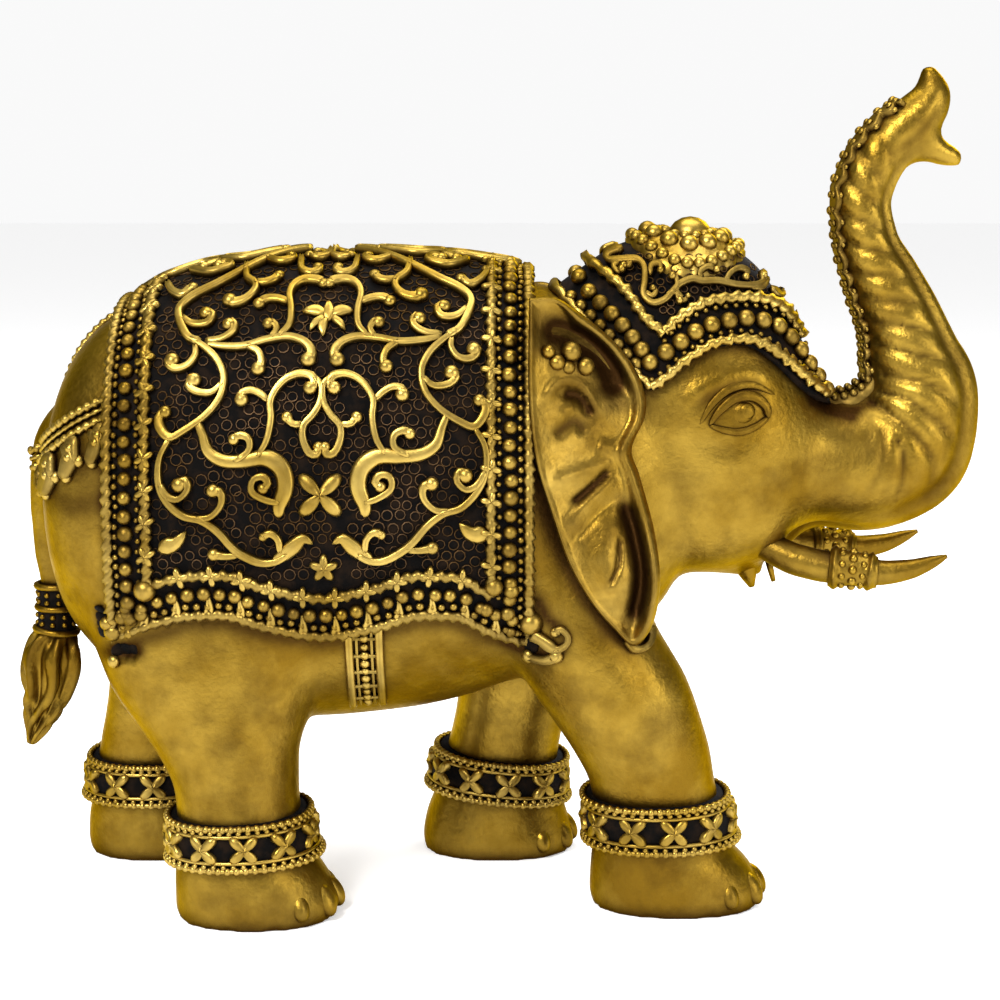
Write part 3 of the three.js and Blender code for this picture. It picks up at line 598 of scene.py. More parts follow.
def make_body(material):
    """The hide: joined forms under one even skin, with soft joins, folds and carved lines."""
    mesh = to_mesh("elephant_body", body_shape())
    obj = new_object("elephant_body", mesh, material)
    mesh = even_mesh(obj, body_voxel)
    count = len(mesh.vertices)
    points = vertex_values(mesh, "co") * 1000 - np.array([shift, 0, 0])
    edges = np.zeros(len(mesh.edges) * 2, int)
    mesh.edges.foreach_get("vertices", edges)
    edges = edges.reshape(-1, 2)
    weight = np.zeros(count)
    for centre, radii, strength in blends:
        weight = np.maximum(weight, strength * near(points, centre, radii))
    weight *= np.clip((points[:, 2] - 2) / 6, 0, 1)
    points = relax(points, edges, np.full(count, 0.5), 2)
    points = relax(points, edges, np.clip(weight * 1.3, 0, 0.9), 46)
    set_points(mesh, points)
    normals = vertex_values(mesh, "normal")
    move, clear_of_painted_shade_and_patina = carving(points)
    points = points + normals * move[:, None]
    points[:, 2] = np.where(points[:, 2] < 0.5, np.maximum(points[:, 2], 0), points[:, 2])
    set_points(mesh, points)
    mesh.polygons.foreach_set("use_smooth", np.ones(len(mesh.polygons), bool))
    add_painted_shade_and_patina(mesh, clear_of_painted_shade_and_patina)
    mesh.update()
    finished(obj)
    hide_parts("elephant")
    return obj


# Saddle cloth: places on it are X and the distance down from the ridge, positive on the right side

step_x = 0.5
step_down = 0.25
sheet_x = np.arange(-93.5, 20.01, step_x)
sheet_down = np.arange(0, 118, step_down)


def make_sheet():
    turn = np.linspace(math.pi / 2, -math.pi / 2, 400)
    y_rows, z_rows = [], []
    for x in sheet_x:
        ring = torso_ring(x, turn)
        length = np.concatenate([[0], np.cumsum(np.hypot(np.diff(ring[:, 1]), np.diff(ring[:, 2])))])
        y_rows.append(np.interp(sheet_down, length, ring[:, 1]))
        z_rows.append(np.interp(sheet_down, length, ring[:, 2]))
    y, z = np.array(y_rows), np.array(z_rows)
    along_x = np.stack([np.full_like(y, step_x), np.gradient(y, axis=0), np.gradient(z, axis=0)], -1)
    along_down = np.stack([np.zeros_like(y), np.gradient(y, axis=1), np.gradient(z, axis=1)], -1)
    normal = unit(np.cross(along_x, along_down))
    return y, z, normal


sheet_y, sheet_z, sheet_normal = make_sheet()


def on_back(x, down, lift=0.0):
    """Points and normals over the hide at X and a distance down from the ridge."""
    x, down, lift = as_arrays(x, down, lift)
    column = np.clip((x - sheet_x[0]) / step_x, 0, len(sheet_x) - 1.001)
    row = np.clip(np.abs(down) / step_down, 0, len(sheet_down) - 1.001)
    i, j = column.astype(int), row.astype(int)
    s, t = column - i, row - j

    def mix(table):
        along, below = (s[..., None], t[..., None]) if table.ndim == 3 else (s, t)
        return (table[i, j] * (1 - along) * (1 - below) + table[i + 1, j] * along * (1 - below)
                + table[i, j + 1] * (1 - along) * below + table[i + 1, j + 1] * along * below)

    side = np.where(down > 0, -1.0, 1.0)
    normal = unit(mix(sheet_normal))
    normal = normal * np.stack([np.ones_like(side), side, np.ones_like(side)], -1)
    place = np.stack([x, side * mix(sheet_y), mix(sheet_z)], -1)
    return place + normal * lift[..., None], normal


def hem_down(x):
    """How far down the hem's lower line is at X."""
    height = hem(x)[..., 0]
    column = np.round((np.atleast_1d(x) - sheet_x[0]) / step_x).astype(int)
    column = np.clip(column, 0, len(sheet_x) - 1)
    found = [np.interp(-h, -sheet_z[c], sheet_down) for h, c in zip(np.atleast_1d(height), column)]
    return np.array(found).reshape(np.shape(x))


small_step = 0.3  # for slopes and directions on a surface


def side_surface(half_width, side):
    """Places on a form given by X and Z of the side view, where half_width gives its Y."""

    def at(x, z, lift=0.0):
        x, z, lift = as_arrays(x, z, lift)
        y = half_width(x, z)
        slope_x = (half_width(x + small_step, z) - half_width(x - small_step, z)) / (2 * small_step)
        slope_z = (half_width(x, z + small_step) - half_width(x, z - small_step)) / (2 * small_step)
        normal = unit(np.stack([-slope_x, np.ones_like(y), -slope_z], -1)) * np.array([1, side, 1])
        return np.stack([x, side * y, z], -1) + normal * lift[..., None], normal

    return at


def head_side(x, z):
    rear, front, half = np.moveaxis(head(np.clip(z, head_table[0][0], head_table[-1][0])), -1, 0)
    along = np.abs(x - (rear + front) / 2) / ((front - rear) / 2)
    return half * np.clip(1 - along**head_exponent, 0, 1) ** (1 / head_exponent)


def on_hide(body, side):
    """Places on the finished hide given by X and Z of the side view."""
    tree = BVHTree.FromObject(body, bpy.context.evaluated_depsgraph_get())
    start_y = side * 0.06  # in metres, outside the hide

    def at(x, z, lift=0.0):
        x, z, lift = as_arrays(x, z, lift)
        points, normals = np.zeros(x.shape + (3,)), np.zeros(x.shape + (3,))
        for i in np.ndindex(x.shape):
            start = Vector(((x[i] + shift) * 0.001, start_y, z[i] * 0.001))
            place, normal, _, _ = tree.ray_cast(start, Vector((0, -side, 0)))
            points[i] = np.array(place) * 1000 - np.array([shift, 0, 0])
            normals[i] = normal
        return points + normals * lift[..., None], normals

    return at


# Reliefs that lie on a surface, given by a function from two coordinates and a lift to points and normals

ridge_profile = [(-1, -0.15), (-1.05, 0.6), (-0.62, 1), (0, 0.8), (0.62, 1), (1.05, 0.6), (1, -0.15)]


def ridge(shape, surface, path, half, base, height, wave=0.0, pitch=3.0, step=0.7, ends=0.35):
    """A rounded wall along a path on a surface, with scalloped edges if a wave is given."""
    places = smooth_path(path, step)
    beside = sideways(places)
    share = np.linspace(0, 1, len(places))
    length = share * np.linalg.norm(np.diff(places, axis=0), axis=1).sum()
    if np.ndim(half) > 0:
        half = np.interp(share, np.linspace(0, 1, len(half)), half)
    taper = np.clip(np.minimum(share, 1 - share) * length[-1] / 1.2 + ends, 0, 1)
    width = half * taper + wave * np.abs(np.sin(math.pi * length / pitch))
    rings = []
    for across, up in ridge_profile:
        shifted = places + beside * (across * width)[:, None]
        lift = base + height * np.where(up > 0.5, up * (0.55 + 0.45 * taper), up)
        points, normal = surface(shifted[:, 0], shifted[:, 1], lift)
        rings.append(points)
    shape.add_rings(np.stack(rings, 1))


small_ball = sphere(9, 6)
fine_ball = sphere(12, 8)


def balls(shape, surface, places, radius, lift, flat=0.8, form=small_ball):
    """Balls on a surface, pressed flat a little along its normal."""
    places = np.asarray(places, float).reshape(-1, 2)
    points, normal = surface(places[:, 0], places[:, 1], lift)
    helper = np.where(np.abs(normal[:, 2:3]) < 0.9, [[0, 0, 1.0]], [[1.0, 0, 0]])
    first = unit(np.cross(helper, normal))
    second = np.cross(normal, first)
    axes = np.stack([first, second, normal * flat], 1)
    shape.add_copies(form, points, radius, axes)


def flat_copies(shape, surface, form, places, lift, sizes=1.0, turns=0.0):
    """Copies of a small form that lie flat on a surface."""
    places = np.asarray(places, float).reshape(-1, 2)
    points, normal = surface(places[:, 0], places[:, 1], lift)
    ahead, _ = surface(places[:, 0] + small_step, places[:, 1], lift)
    first = unit(ahead - points)
    second = np.cross(normal, first)
    turns = np.broadcast_to(np.asarray(turns, float), (len(places),))[:, None]
    along = first * np.cos(turns) + second * np.sin(turns)
    beside = np.cross(normal, along)
    shape.add_copies(form, points, sizes, np.stack([along, beside, normal], 1))


def petals(count, radius, waist, thick):
    """A flat flower with pointed petals that rise to a middle line."""
    steps = count * 12
    turn = even_turns(steps)
    reach = radius * (waist + (1 - waist) * np.abs(np.cos(turn * count / 2)) ** 1.6)
    rings = []
    for portion, height in ((1, -0.4), (1, 0.35), (0.8, 0.8), (0.4, 0.75), (0.12, 1.1), (0.02, 1.2)):
        rings.append(np.stack([reach * portion * np.cos(turn), reach * portion * np.sin(turn),
                               np.full(steps, thick * height)], -1))
    shape = Shape()
    shape.add_rings(rings, ends=False)
    return np.concatenate(shape.points), shape.faces


# Scrolls of the cloth's left half: path of X and distance down, with the radius of the ball at its end

middle_x = -34.3
flower_place = (-34.7, 62.6)
star_place = (-34.2, 76.8)
scrolls = [
    ([(-39, 2), (-45, 8), (-51.1, 14), (-56, 17.5), (-60, 19.5), (-62.5, 22), (-62.3, 25),
      (-60.5, 29.3), (-58, 31)], 0),
    ([(-57, 31.2), (-54, 31.3), (-51.7, 30), (-51.7, 28.2), (-52.6, 28.4)], 1.1),
    ([(-60, 30), (-57, 32.5), (-54.5, 35.5), (-53.2, 39), (-54, 42.8), (-57, 45.8), (-61, 47.6),
      (-63.5, 48),
      (-65.3, 45.5), (-65.5, 43.5), (-64.4, 43)], 1.0),
    ([(-59, 31.5), (-58.8, 33.5), (-60.3, 35.3), (-62.7, 35.2), (-64, 33.6), (-63.3, 33.4)], 1.2),
    ([(-53.3, 40), (-55.5, 41.5), (-58.5, 40.7), (-60, 38.9), (-59, 38.5)], 1.2),
    ([(-42.5, 64), (-45, 63.2), (-47.6, 61.4), (-47.5, 59.2), (-45.6, 58.7), (-44.6, 60),
      (-45.6, 61)], 0.9),
    ([(-51, 55.2), (-48.3, 53.6), (-48.2, 51.4), (-50, 50.4), (-51.1, 51)], 0.9),
    ([(-46.5, 54.8), (-44.8, 52), (-44, 48), (-44.2, 45), (-43, 42.5), (-41, 40.6), (-38.5, 39.8),
      (-36.3, 40.3),
      (-35.8, 41.8), (-36.6, 42.5)], 1.1),
    ([(-36, 40.4), (-34.5, 42), (-34.6, 45), (-36, 47.5), (-37.8, 49.5), (-37.9, 52), (-36.7, 54.6),
      (-35.2, 54.8),
      (-34.9, 53.6)], 0.9),
    ([(-37.8, 49.3), (-39.8, 49.3), (-41, 48)], 0.9),
    ([(-44.5, 44.8), (-46, 43.3), (-48, 42.3), (-49.8, 42.7), (-49.7, 43.8)], 1.1),
    ([(-57, 31.8), (-53, 33), (-49, 33.5), (-45, 32.8), (-41, 32.5), (-38, 33.5), (-36.5, 35.5),
      (-37.1, 37.1)], 1.2),
    ([(-49, 33.5), (-46.8, 34.9), (-46, 37), (-46.6, 38.4)], 1.1),
    ([(-44.5, 32.8), (-43.3, 31), (-43.9, 29.6), (-44.9, 29.5)], 1.0),
    ([(-43, 32.6), (-41, 30), (-40.8, 26.5), (-41.3, 23), (-40.5, 20.5), (-38.5, 19), (-36, 19.2),
      (-34.9, 20)], 0.9),
    ([(-41.2, 25), (-43.5, 24), (-45.6, 23.8), (-47, 24.6)], 1.0),
    ([(-50.5, 11), (-50, 16.5), (-48.2, 19), (-48, 21), (-49.5, 23), (-51.8, 23.5), (-52.9, 22.6)], 1.2),
    ([(-48.3, 19), (-46, 19.3), (-44.3, 18.5), (-43.7, 17.3)], 0.9),
    ([(-62, 24.5), (-59.8, 26.8), (-57, 27.3), (-56, 25.7), (-57.3, 24.9)], 1.1),
    ([(-66, 12), (-64.6, 16), (-62.4, 18.4), (-60.6, 16.8)], 0.9),
    ([(-40, 10), (-39.5, 15.5), (-37.5, 17), (-36, 16), (-36.3, 14.8)], 0.9),
    ([(-47, 9.5), (-44, 12), (-41.5, 11.2), (-42, 9.3)], 0.9),
    ([(-62, 8), (-58, 12), (-54, 11), (-54.5, 8.6), (-56.5, 8.8)], 1.0),
    ([(-63.5, 48.2), (-65.5, 51.5), (-65.6, 56), (-64, 60), (-61, 63.5), (-57.5, 65.2), (-54.5, 67.8),
      (-52, 71),
      (-50, 73), (-46.5, 75), (-43.5, 75.2), (-41, 74)], 0),
    ([(-65.5, 56), (-64, 58.8), (-61.8, 60), (-60, 58.5), (-60.8, 56.7), (-61.7, 57.4)], 1.2),
    ([(-59, 64.5), (-56, 64.8), (-53.8, 63), (-53.6, 60.7), (-55.2, 59.9)], 1.1),
    ([(-50.5, 73), (-53, 72.8), (-55.3, 72.1)], 1.0),
    ([(-42.5, 73.5), (-42.8, 71), (-44.4, 69.6), (-45.7, 70.2)], 0.7),
]
# Broad scrolls: path and half widths
thick_scrolls = [
    ([(-58.5, 45.8), (-57.2, 49), (-56, 52.5), (-53, 54.7), (-49, 55.3), (-45, 55.3), (-42, 57.5),
      (-41.3, 61),
      (-42.5, 64.5), (-42.6, 66.8)], [0.6, 0.8, 1.0, 1.15, 1.3, 1.5, 1.7, 1.6, 1.5, 0.9]),
    ([(-44, 75.2), (-42, 74), (-40, 72.5), (-38, 70.9), (-36.2, 71.9)], [0.8, 1.3, 1.5, 1.1, 0.3]),
    ([(-65.6, 67), (-64.3, 68.3), (-62.6, 68.3), (-60.6, 66.6)], [1.3, 1.6, 1.3, 0.4]),
]
# Leaves of the palmette between the scrolls: path and half widths
palmette = [
    ([(-33.6, 29), (-33.5, 26.6), (-33.6, 24.4)], [0.9, 1.3, 0.3]),
    ([(-34, 27.8), (-36, 26.6), (-38.6, 27)], [0.8, 1.3, 0.4]),
    ([(-33.2, 27.8), (-31, 26.6), (-28.6, 27)], [0.8, 1.3, 0.4]),
    ([(-34, 28), (-34.6, 30), (-34.4, 32.2)], [0.8, 1.0, 0.4]),
    ([(-34, 28), (-36, 29.4), (-37, 31)], [0.6, 0.8, 0.3]),
    ([(-33, 28), (-31.2, 29.4), (-30.2, 31)], [0.6, 0.8, 0.3]),
]
# Scrolls that fill the top of the back, near the ridge
ridge_scrolls = [
    ([(-72, 2), (-66, 5), (-60, 3), (-57, 6), (-59.5, 8)], 1.0),
    ([(-57, 3), (-52, 6.5), (-47, 4.5), (-44, 2)], 0.9),
    ([(-34.3, 3), (-34.3, 8), (-36.5, 10.5), (-38.4, 9)], 0.9),
]


def cloth_ground(material):
    """The dark ground of the cloth: one closed slab over the back."""
    columns = np.linspace(cloth_rear, cloth_front, 100)
    across = np.linspace(-1, 1, 170)
    edge_round = 0.8
    under_hide = -2.2
    outer, inner = [], []
    for x in columns:
        reach = float(hem_down(x))
        down = across * reach
        fall = np.clip(np.minimum(x - cloth_rear, cloth_front - x) / edge_round, 0, 1)
        edge = np.clip((reach - np.abs(down)) / edge_round, 0, 1)
        lift = cloth_lift * np.sqrt(np.minimum(fall, edge) + 0.05)
        outer.append(on_back(x, down, lift)[0])
        inner.append(on_back(x, down, under_hide)[0])
    rings = np.concatenate([np.array(outer), np.array(inner)[:, ::-1]], axis=1)
    shape = Shape()
    shape.add_rings(rings)
    return piece("cloth_ground", shape, material)


def both_halves(path, lift_side):
    """A path of the cloth's left half on the given side, and its mirror image about middle_x."""
    path = np.asarray(path, float)
    near_side = path * np.array([1, lift_side])
    mirrored = near_side * np.array([-1, 1]) + np.array([2 * middle_x, 0])
    return near_side, mirrored


def cloth_scrolls(material):
    shape = Shape()
    for side in (1, -1):
        for path, ball in scrolls + ridge_scrolls:
            for line in both_halves(path, side):
                end = max(1.0, 1.1 * ball) if ball else 0.7
                half = scroll_half * np.array([0.9, 1.05, 1.1, 1.1, 1.15, 1.3, 1.5 * end])
                ridge(shape, on_back, line, half, cloth_lift, scroll_height, ends=0.75)
                if ball:
                    middle_lift = cloth_lift + scroll_height * 0.5
                    balls(shape, on_back, line[-1:], ball * 1.3, middle_lift, 0.8, fine_ball)
        for path, half in thick_scrolls:
            for line in both_halves(path, side):
                ridge(shape, on_back, line, half, cloth_lift, scroll_height * 0.85)
        flower, (x, down) = petals(4, 5.6, 0.2, 1.5), flower_place
        flat_copies(shape, on_back, flower, [(x, side * down)], cloth_lift + 0.2, 1.0, math.pi / 4)
        star, (x, down) = petals(5, 2.9, 0.5, 1.2), star_place
        flat_copies(shape, on_back, star, [(x, side * down)], cloth_lift + 0.2, 1.0, side * math.pi / 2)
        for path, half in palmette:
            line = np.array(path) * np.array([1, side])
            ridge(shape, on_back, line, half, cloth_lift, 1.4)
    return piece("cloth_scrolls", shape, material)


def cloth_rings(material):
    """Small rings scattered over the ground in rough rows, left out here and there as in a casting rubbed
    down by use.
    """
    form = torus(ring_radius, ring_wire, 9, 3)
    places = []
    for row, down in enumerate(np.arange(-rings_reach, rings_reach + 0.1, ring_pitch * 0.9)):
        for x in np.arange(cloth_rear + rings_from_rear, cloth_front - rings_from_front, ring_pitch):
            place = np.array([x + (row % 2) * ring_pitch / 2, down]) + random.normal(0, ring_scatter, 2)
            lowest = float(hem_down(place[0])) - rings_from_hem
            if random.random() < ring_share and abs(place[1]) < lowest:
                places.append(place)
    shape = Shape()
    flat_copies(shape, on_back, form, places, cloth_lift + 0.12, random.uniform(0.85, 1.1, len(places)))
    return piece("cloth_rings", shape, material)


def rope(shape, surface, path, radius, lift, pitch=2.2, bump=0.28, pin=0.0, pin_pitch=8.0):
    """A cast rim like a twisted rope, with small points on both sides if a pin is given."""
    places = smooth_path(path, 0.45)
    beside = sideways(places)
    length = run(places)
    turn = even_turns(8)
    thick = radius * (1 + bump * np.sin(2 * math.pi * length[:, None] / pitch + turn[None]))
    spike = pin * np.clip(1 - np.abs((length / pin_pitch) % 1 - 0.5) * 7, 0, 1)
    outward = np.sign(np.cos(turn)) * (np.abs(np.cos(turn)) > 0.3)
    reach = thick * np.cos(turn) + spike[:, None] * outward
    shifted = places[:, None] + beside[:, None] * reach[..., None]
    points, normal = surface(shifted[..., 0], shifted[..., 1], lift + thick * np.sin(turn))
    shape.add_rings(points)


def border_lines(side):
    """The rims of the cloth's border on one side, as paths of X and distance down."""
    rear_down = float(hem_down(cloth_rear))
    front_down = float(hem_down(cloth_front))
    columns = np.linspace(cloth_rear + rear_inset, cloth_front - front_inset, 40)
    low = np.stack([columns, hem_down(columns) - hem_inset], -1)
    rear, front = cloth_rear + rear_border, cloth_front - front_border
    inner_columns = np.linspace(rear, front, 34)
    high = np.stack([inner_columns, hem_down(inner_columns) - hem_border], -1)
    rear_foot = (cloth_rear + rear_inset, rear_down - hem_inset)
    front_foot = (cloth_front - front_inset, front_down - hem_inset)
    lines = {
        "rear_outer": [(cloth_rear + 2 * rear_inset, 0), rear_foot],
        "rear_inner": [(rear, 0), (rear, float(high[0, 1]))],
        "front_inner": [(front, 0), (front, float(high[-1, 1]))],
        "front_outer": [(cloth_front - front_inset, 0), front_foot],
        "hem_low": low,
        "hem_high": high,
    }
    return {name: np.asarray(line, float) * np.array([1, side]) for name, line in lines.items()}


star_pitch = 6.1  # pointed stars along the inner rims

# Rows of beads: rim, distance from it along X and down, size against bead_radius, pitch
bead_rows = [
    ("rear_outer", 3.5, 0, 1.15, 3.3), ("rear_outer", 1.5, 0, 0.5, 1.9), ("rear_inner", -1.6, 0, 0.45, 2.0),
    ("front_outer", -1.6, 0, 0.5, 1.9), ("front_inner", 3.5, 0, 1.15, 3.3),
    ("front_inner", 1.5, 0, 0.45, 2.0), ("hem_low", 0, -4.3, 1.05, 3.1), ("hem_low", 0, -1.9, 0.6, 2.1),
]

# Single beads in the corners: X, distance down, radius
corner_beads = [
    (-77, 78, 1.5), (-76, 80.5, 1.9), (-74, 78, 1.4), (-73, 76.5, 1.2), (-70, 79.5, 1.4), (-69, 75, 2.3),
    (-1.5, 78, 1.9), (1.7, 78, 1.6), (-3, 83, 1.4), (1, 83, 1.5), (5.4, 83.5, 2.5), (1.5, 87, 1.1),
]


def cloth_border(material, bead_material):
    rims, beads = Shape(), Shape()
    star = petals(4, 2.2, 0.3, 1.0)
    for side in (1, -1):
        lines = border_lines(side)
        for name, line in lines.items():
            inner = name in ("rear_inner", "front_inner", "hem_high")
            rope(rims, on_back, line, rim_radius, border_lift - 0.2, pin=0.3, pin_pitch=3.2)
            if inner:
                flat_copies(rims, on_back, star, smooth_path(line, star_pitch)[1:-1], border_lift)
        pins = smooth_path(lines["hem_low"], star_pitch)[1:-1]
        for x, down in pins:
            reach = np.array([(x, down), (x + 0.3, down - side * 1.8), (x + 0.1, down - side * 4.2)])
            ridge(rims, on_back, reach, [1.3, 0.7, 0.25], cloth_lift - 0.3, 1.6, ends=0.8)
        for name, along, down, share, pitch in bead_rows:
            places = smooth_path(lines[name] + np.array([along, side * down]), pitch)
            places = places + random.normal(0, 0.1, places.shape)
            sizes = bead_radius * share * random.uniform(0.9, 1.08, len(places))
            balls(beads, on_back, places, sizes, cloth_lift + 0.6, 0.9)
        for x, down, radius in corner_beads:
            balls(beads, on_back, [(x, side * down)], radius, cloth_lift + 0.9, 0.9, fine_ball)
    return piece("cloth_rims", rims, material), piece("cloth_beads", beads, bead_material)


# Curls at the cloth's front corner and under the ear: path in the side view and half widths
corner_curls = [
    ([(6.6, 59.6), (8.6, 58.6), (11.2, 57), (13.1, 58), (13.5, 59.6), (12.2, 61), (11.2, 60.3)],
     [1.2, 1.0, 1.2, 0.7, 0.6, 0.6, 0.9]),
    ([(5.9, 54.9), (8.9, 54.6), (11.2, 55.5), (11.4, 57)], [0.6, 0.8, 1.1, 0.8]),
    ([(24.5, 58.5), (26.5, 56.6), (29, 57), (29.6, 59.3), (27.8, 59.8)], [0.5, 0.8, 0.7, 0.6, 0.8]),
]
# Balls at the corners, and dark discs that paint the shade beside them: X, Z, radius
corner_balls = [(5.9, 54.9, 1.5), (11.2, 55.6, 1.5), (11, 60.4, 1.1), (-76.6, 53.8, 1.4)]
corner_shade_places = [
    (6.2, 57.2, 1.9), (-79.4, 64, 1.4), (-79.3, 62.5, 1.5), (-79.2, 61, 1.5), (-79.1, 59.6, 1.3),
    (-75.6, 56, 1.8), (-74, 56.1, 2.0), (-72.4, 56.3, 1.6),
]


def corners(body, material, dark):
    """Curls at the cloth's front corners and under the ears, and dark discs of painted shade beside all four
    corners.
    """
    curls, shade_discs = Shape(), Shape()
    for side in (-1, 1):
        surface = on_hide(body, side)
        for path, half in corner_curls:
            ridge(curls, surface, path, half, -0.2, 1.8, step=0.4, ends=0.8)
        for x, z, radius in corner_balls:
            balls(curls, surface, [(x, z)], radius, 0.5, 0.8, fine_ball)
        # Painted shade: flat dark discs of the ground's material beside the corners
        for x, z, radius in corner_shade_places:
            balls(shade_discs, surface, [(x, z)], radius, 0.1, 0.3, fine_ball)
    return piece("corner_curls", curls, material), piece("corner_shade_discs", shade_discs, dark)


# Cap

def cap_ground(material):
    """The cap's dark ground: the head's top, cut along its scalloped lower edge."""
    edge = make_curve(cap_edge)
    turn = even_turns(170)
    top = head_table[-1][0]
    rings_out = []
    levels = np.linspace(0, 1, 50)

    def edge_height(x):
        return float(edge(np.clip(x, 9, 71))[0])

    lowest = np.array([edge_height(x) for x in head_ring(114, cap_lift, turn)[:, 0]])
    for _ in range(3):
        x_here = [head_ring(z, cap_lift, turn[i : i + 1])[0, 0] for i, z in enumerate(lowest)]
        lowest = np.array([edge_height(x) for x in x_here])
    for level in levels:
        z = lowest + (top + 0.2 - lowest) * level
        lift = cap_lift * (1 - 0.75 * level**2)
        ring = np.array([head_ring(min(h, top), lift, turn[i : i + 1])[0] for i, h in enumerate(z)])
        ring[:, 2] = z
        rings_out.append(ring)
    under = np.array([head_ring(h, -1.5, turn[i : i + 1])[0] for i, h in enumerate(lowest)])
    shape = Shape()
    shape.add_rings(np.array([under] + rings_out))
    return piece("cap_ground", shape, material)


# Scrolls of the cap: path in the side view, half width, radius of the ball at its end
cap_scrolls = [
    ([(25.6, 133.4), (22.9, 132.3), (22.8, 130.9), (25.5, 131.1), (28, 131.2), (29.2, 129.8), (29.1, 127.3),
      (28.8, 124.9), (30.5, 123.4), (32.8, 124), (34.7, 125.8), (35.9, 126.9), (38.3, 127.8), (40.2, 127.4),
      (43.3, 127.4), (46.8, 126.6), (50.2, 126.4), (52, 127.2), (51.9, 129.2)], 0.6, 0),
    ([(29, 125.6), (30.4, 124.6), (31.2, 125.6), (30.6, 126)], 0.5, 0.7),
    ([(33.6, 124.9), (35.2, 126), (35.2, 127.8), (34.4, 128.2)], 0.5, 0.9),
    ([(27, 131.3), (26.4, 130.2), (25.4, 129.8)], 0.5, 0.9),
    ([(35.4, 126), (35.4, 124.2), (36.6, 123.8), (37.3, 124.6)], 0.45, 0.6),
    ([(44.4, 126.8), (45.4, 128.6), (47.2, 129.6), (48.8, 129), (48.4, 127.9)], 0.5, 0.8),
    ([(24.9, 130.8), (23.6, 129.8), (24.1, 128.9), (25, 129.2)], 0.5, 0.9),
    ([(32.9, 124.4), (34.4, 125.4), (35.9, 124.6), (35.7, 123.7)], 0.5, 0.8),
    ([(40, 127.6), (39.8, 129), (41.4, 130), (42.9, 129.3)], 0.5, 0.8),
    ([(30.2, 128.4), (30.6, 130.2), (32.2, 130.4), (32.2, 129.2)], 0.5, 0.8),
    ([(49.6, 125.9), (51.6, 125.8), (52.6, 127), (52, 128)], 0.5, 0.8),
    ([(53.6, 126), (55.3, 124.2), (56.8, 124.6), (56.4, 125.8)], 0.5, 0.8),
]


cap_lower = [
    (30.4, 107.6), (33.4, 109.9), (36.4, 112.5), (42.1, 115.8), (48, 116.5), (51.9, 115.3),
    (55.9, 112.5), (61.3, 107.7), (65.2, 104.8),
]
cap_upper = [
    (32.7, 117.9), (34.6, 119.9), (38.5, 122.5), (42.8, 123.9), (50.3, 124.1), (56.2, 121.8),
    (60.8, 116),
]
cap_rims = [
    (cap_lower, 0.85, 0.5, 3.2),
    (cap_upper, 0.95, 0.3, 3.6),
    ([(18.4, 131.2), (25.3, 125.8), (28.9, 120.8), (32.7, 117.7)], 0.95, 0.3, 3.6),
    ([(12, 126.8), (18, 120.4), (24, 114), (30.4, 107.6)], 0.85, 0.0, 8.0),
]  # path, radius, size of the pins and their pitch
cap_bead_rows = [
    ([(33, 114.3), (36.5, 116.6), (40.1, 118.8), (44.1, 119.7), (47.7, 120.3), (51.5, 119.8), (54.4, 118.8),
      (57, 116.6), (59.4, 113.6), (61.6, 110.4), (63.6, 107.6), (65.2, 105.2)], 3.25, 1.85, 0.5, fine_ball),
    ([(17, 127.6), (18.5, 125.6), (20.3, 123.8), (22.9, 121.3), (25.4, 118.6), (27.8, 115.6), (30, 112.4)],
     2.75, 1.75, 0.5, fine_ball),
    ([(15.6, 124.4), (18.4, 121.6), (21.4, 118.6), (24.4, 115.4),
      (27.4, 112.2)], 2.3, 1.4, 0.4, small_ball),
    ([(x, z + 1.5) for x, z in cap_lower], 1.9, 0.6, 0.5, small_ball),
    ([(x, z - 1.5) for x, z in cap_upper], 1.9, 0.6, 0.5, small_ball),
]  # path, pitch, radius, lift above the cap's ground, form
cap_ring_edge = [(26, 126), (32.7, 119.5), (38.5, 124), (43, 125.5), (50, 125.8), (56, 124), (61, 118)]


def cap_ring_places():
    """Places for small rings between the scrolls, above the cap's upper rim."""
    places = []
    for z in np.arange(120, 134, 2.0):
        for x in np.arange(24, 60, 2.0):
            above = z > np.interp(x, *zip(*cap_ring_edge))
            if above and head_side(x, z) > 5:
                places.append((x + random.normal(0, 0.2) + (z % 4) / 4, z + random.normal(0, 0.2)))
    return places


def cap_ornament(material, ring_material, bead_material):
    shape, rings, beads = Shape(), Shape(), Shape()
    for side in (-1, 1):
        surface = side_surface(head_side, side)
        for path, half, ball in cap_scrolls:
            ridge(shape, surface, path, half, cap_lift, 1.3, step=0.4)
            if ball:
                balls(shape, surface, path[-1:], ball, cap_lift + 0.8, 1.1)
        for path, radius, pin, pitch in cap_rims:
            rope(shape, surface, path, radius, cap_lift + 0.7, pin=pin, pin_pitch=pitch)
        for path, pitch, radius, lift, form in cap_bead_rows:
            balls(beads, surface, smooth_path(path, pitch), radius, cap_lift + lift, 0.9, form)
        flat_copies(rings, surface, torus(0.75, 0.15, 12, 5), cap_ring_places(), cap_lift + 0.1)
    medallion(shape)
    piece("cap_beads", beads, bead_material)
    return piece("cap_ornament", shape, material), piece("cap_rings", rings, ring_material)


medallion_x = 38.2
medallion_share = 1.18  # width against length
medallion_tiers = [
    (12, -3), (12, 0.5), (11.3, 1.2), (10.2, 1.3), (9.5, 0.8), (9, 1.2), (6.9, 1.3), (5.6, 1.3), (4.7, 0.9),
]  # radius, height above the cap
medallion_pearls = [
    (7.8, 1.0, 2.0, 12), (11, 0.9, 1.4, 27), (5.4, 1.0, 1.2, 15),
]  # radius of the ring, height above the cap, size, number


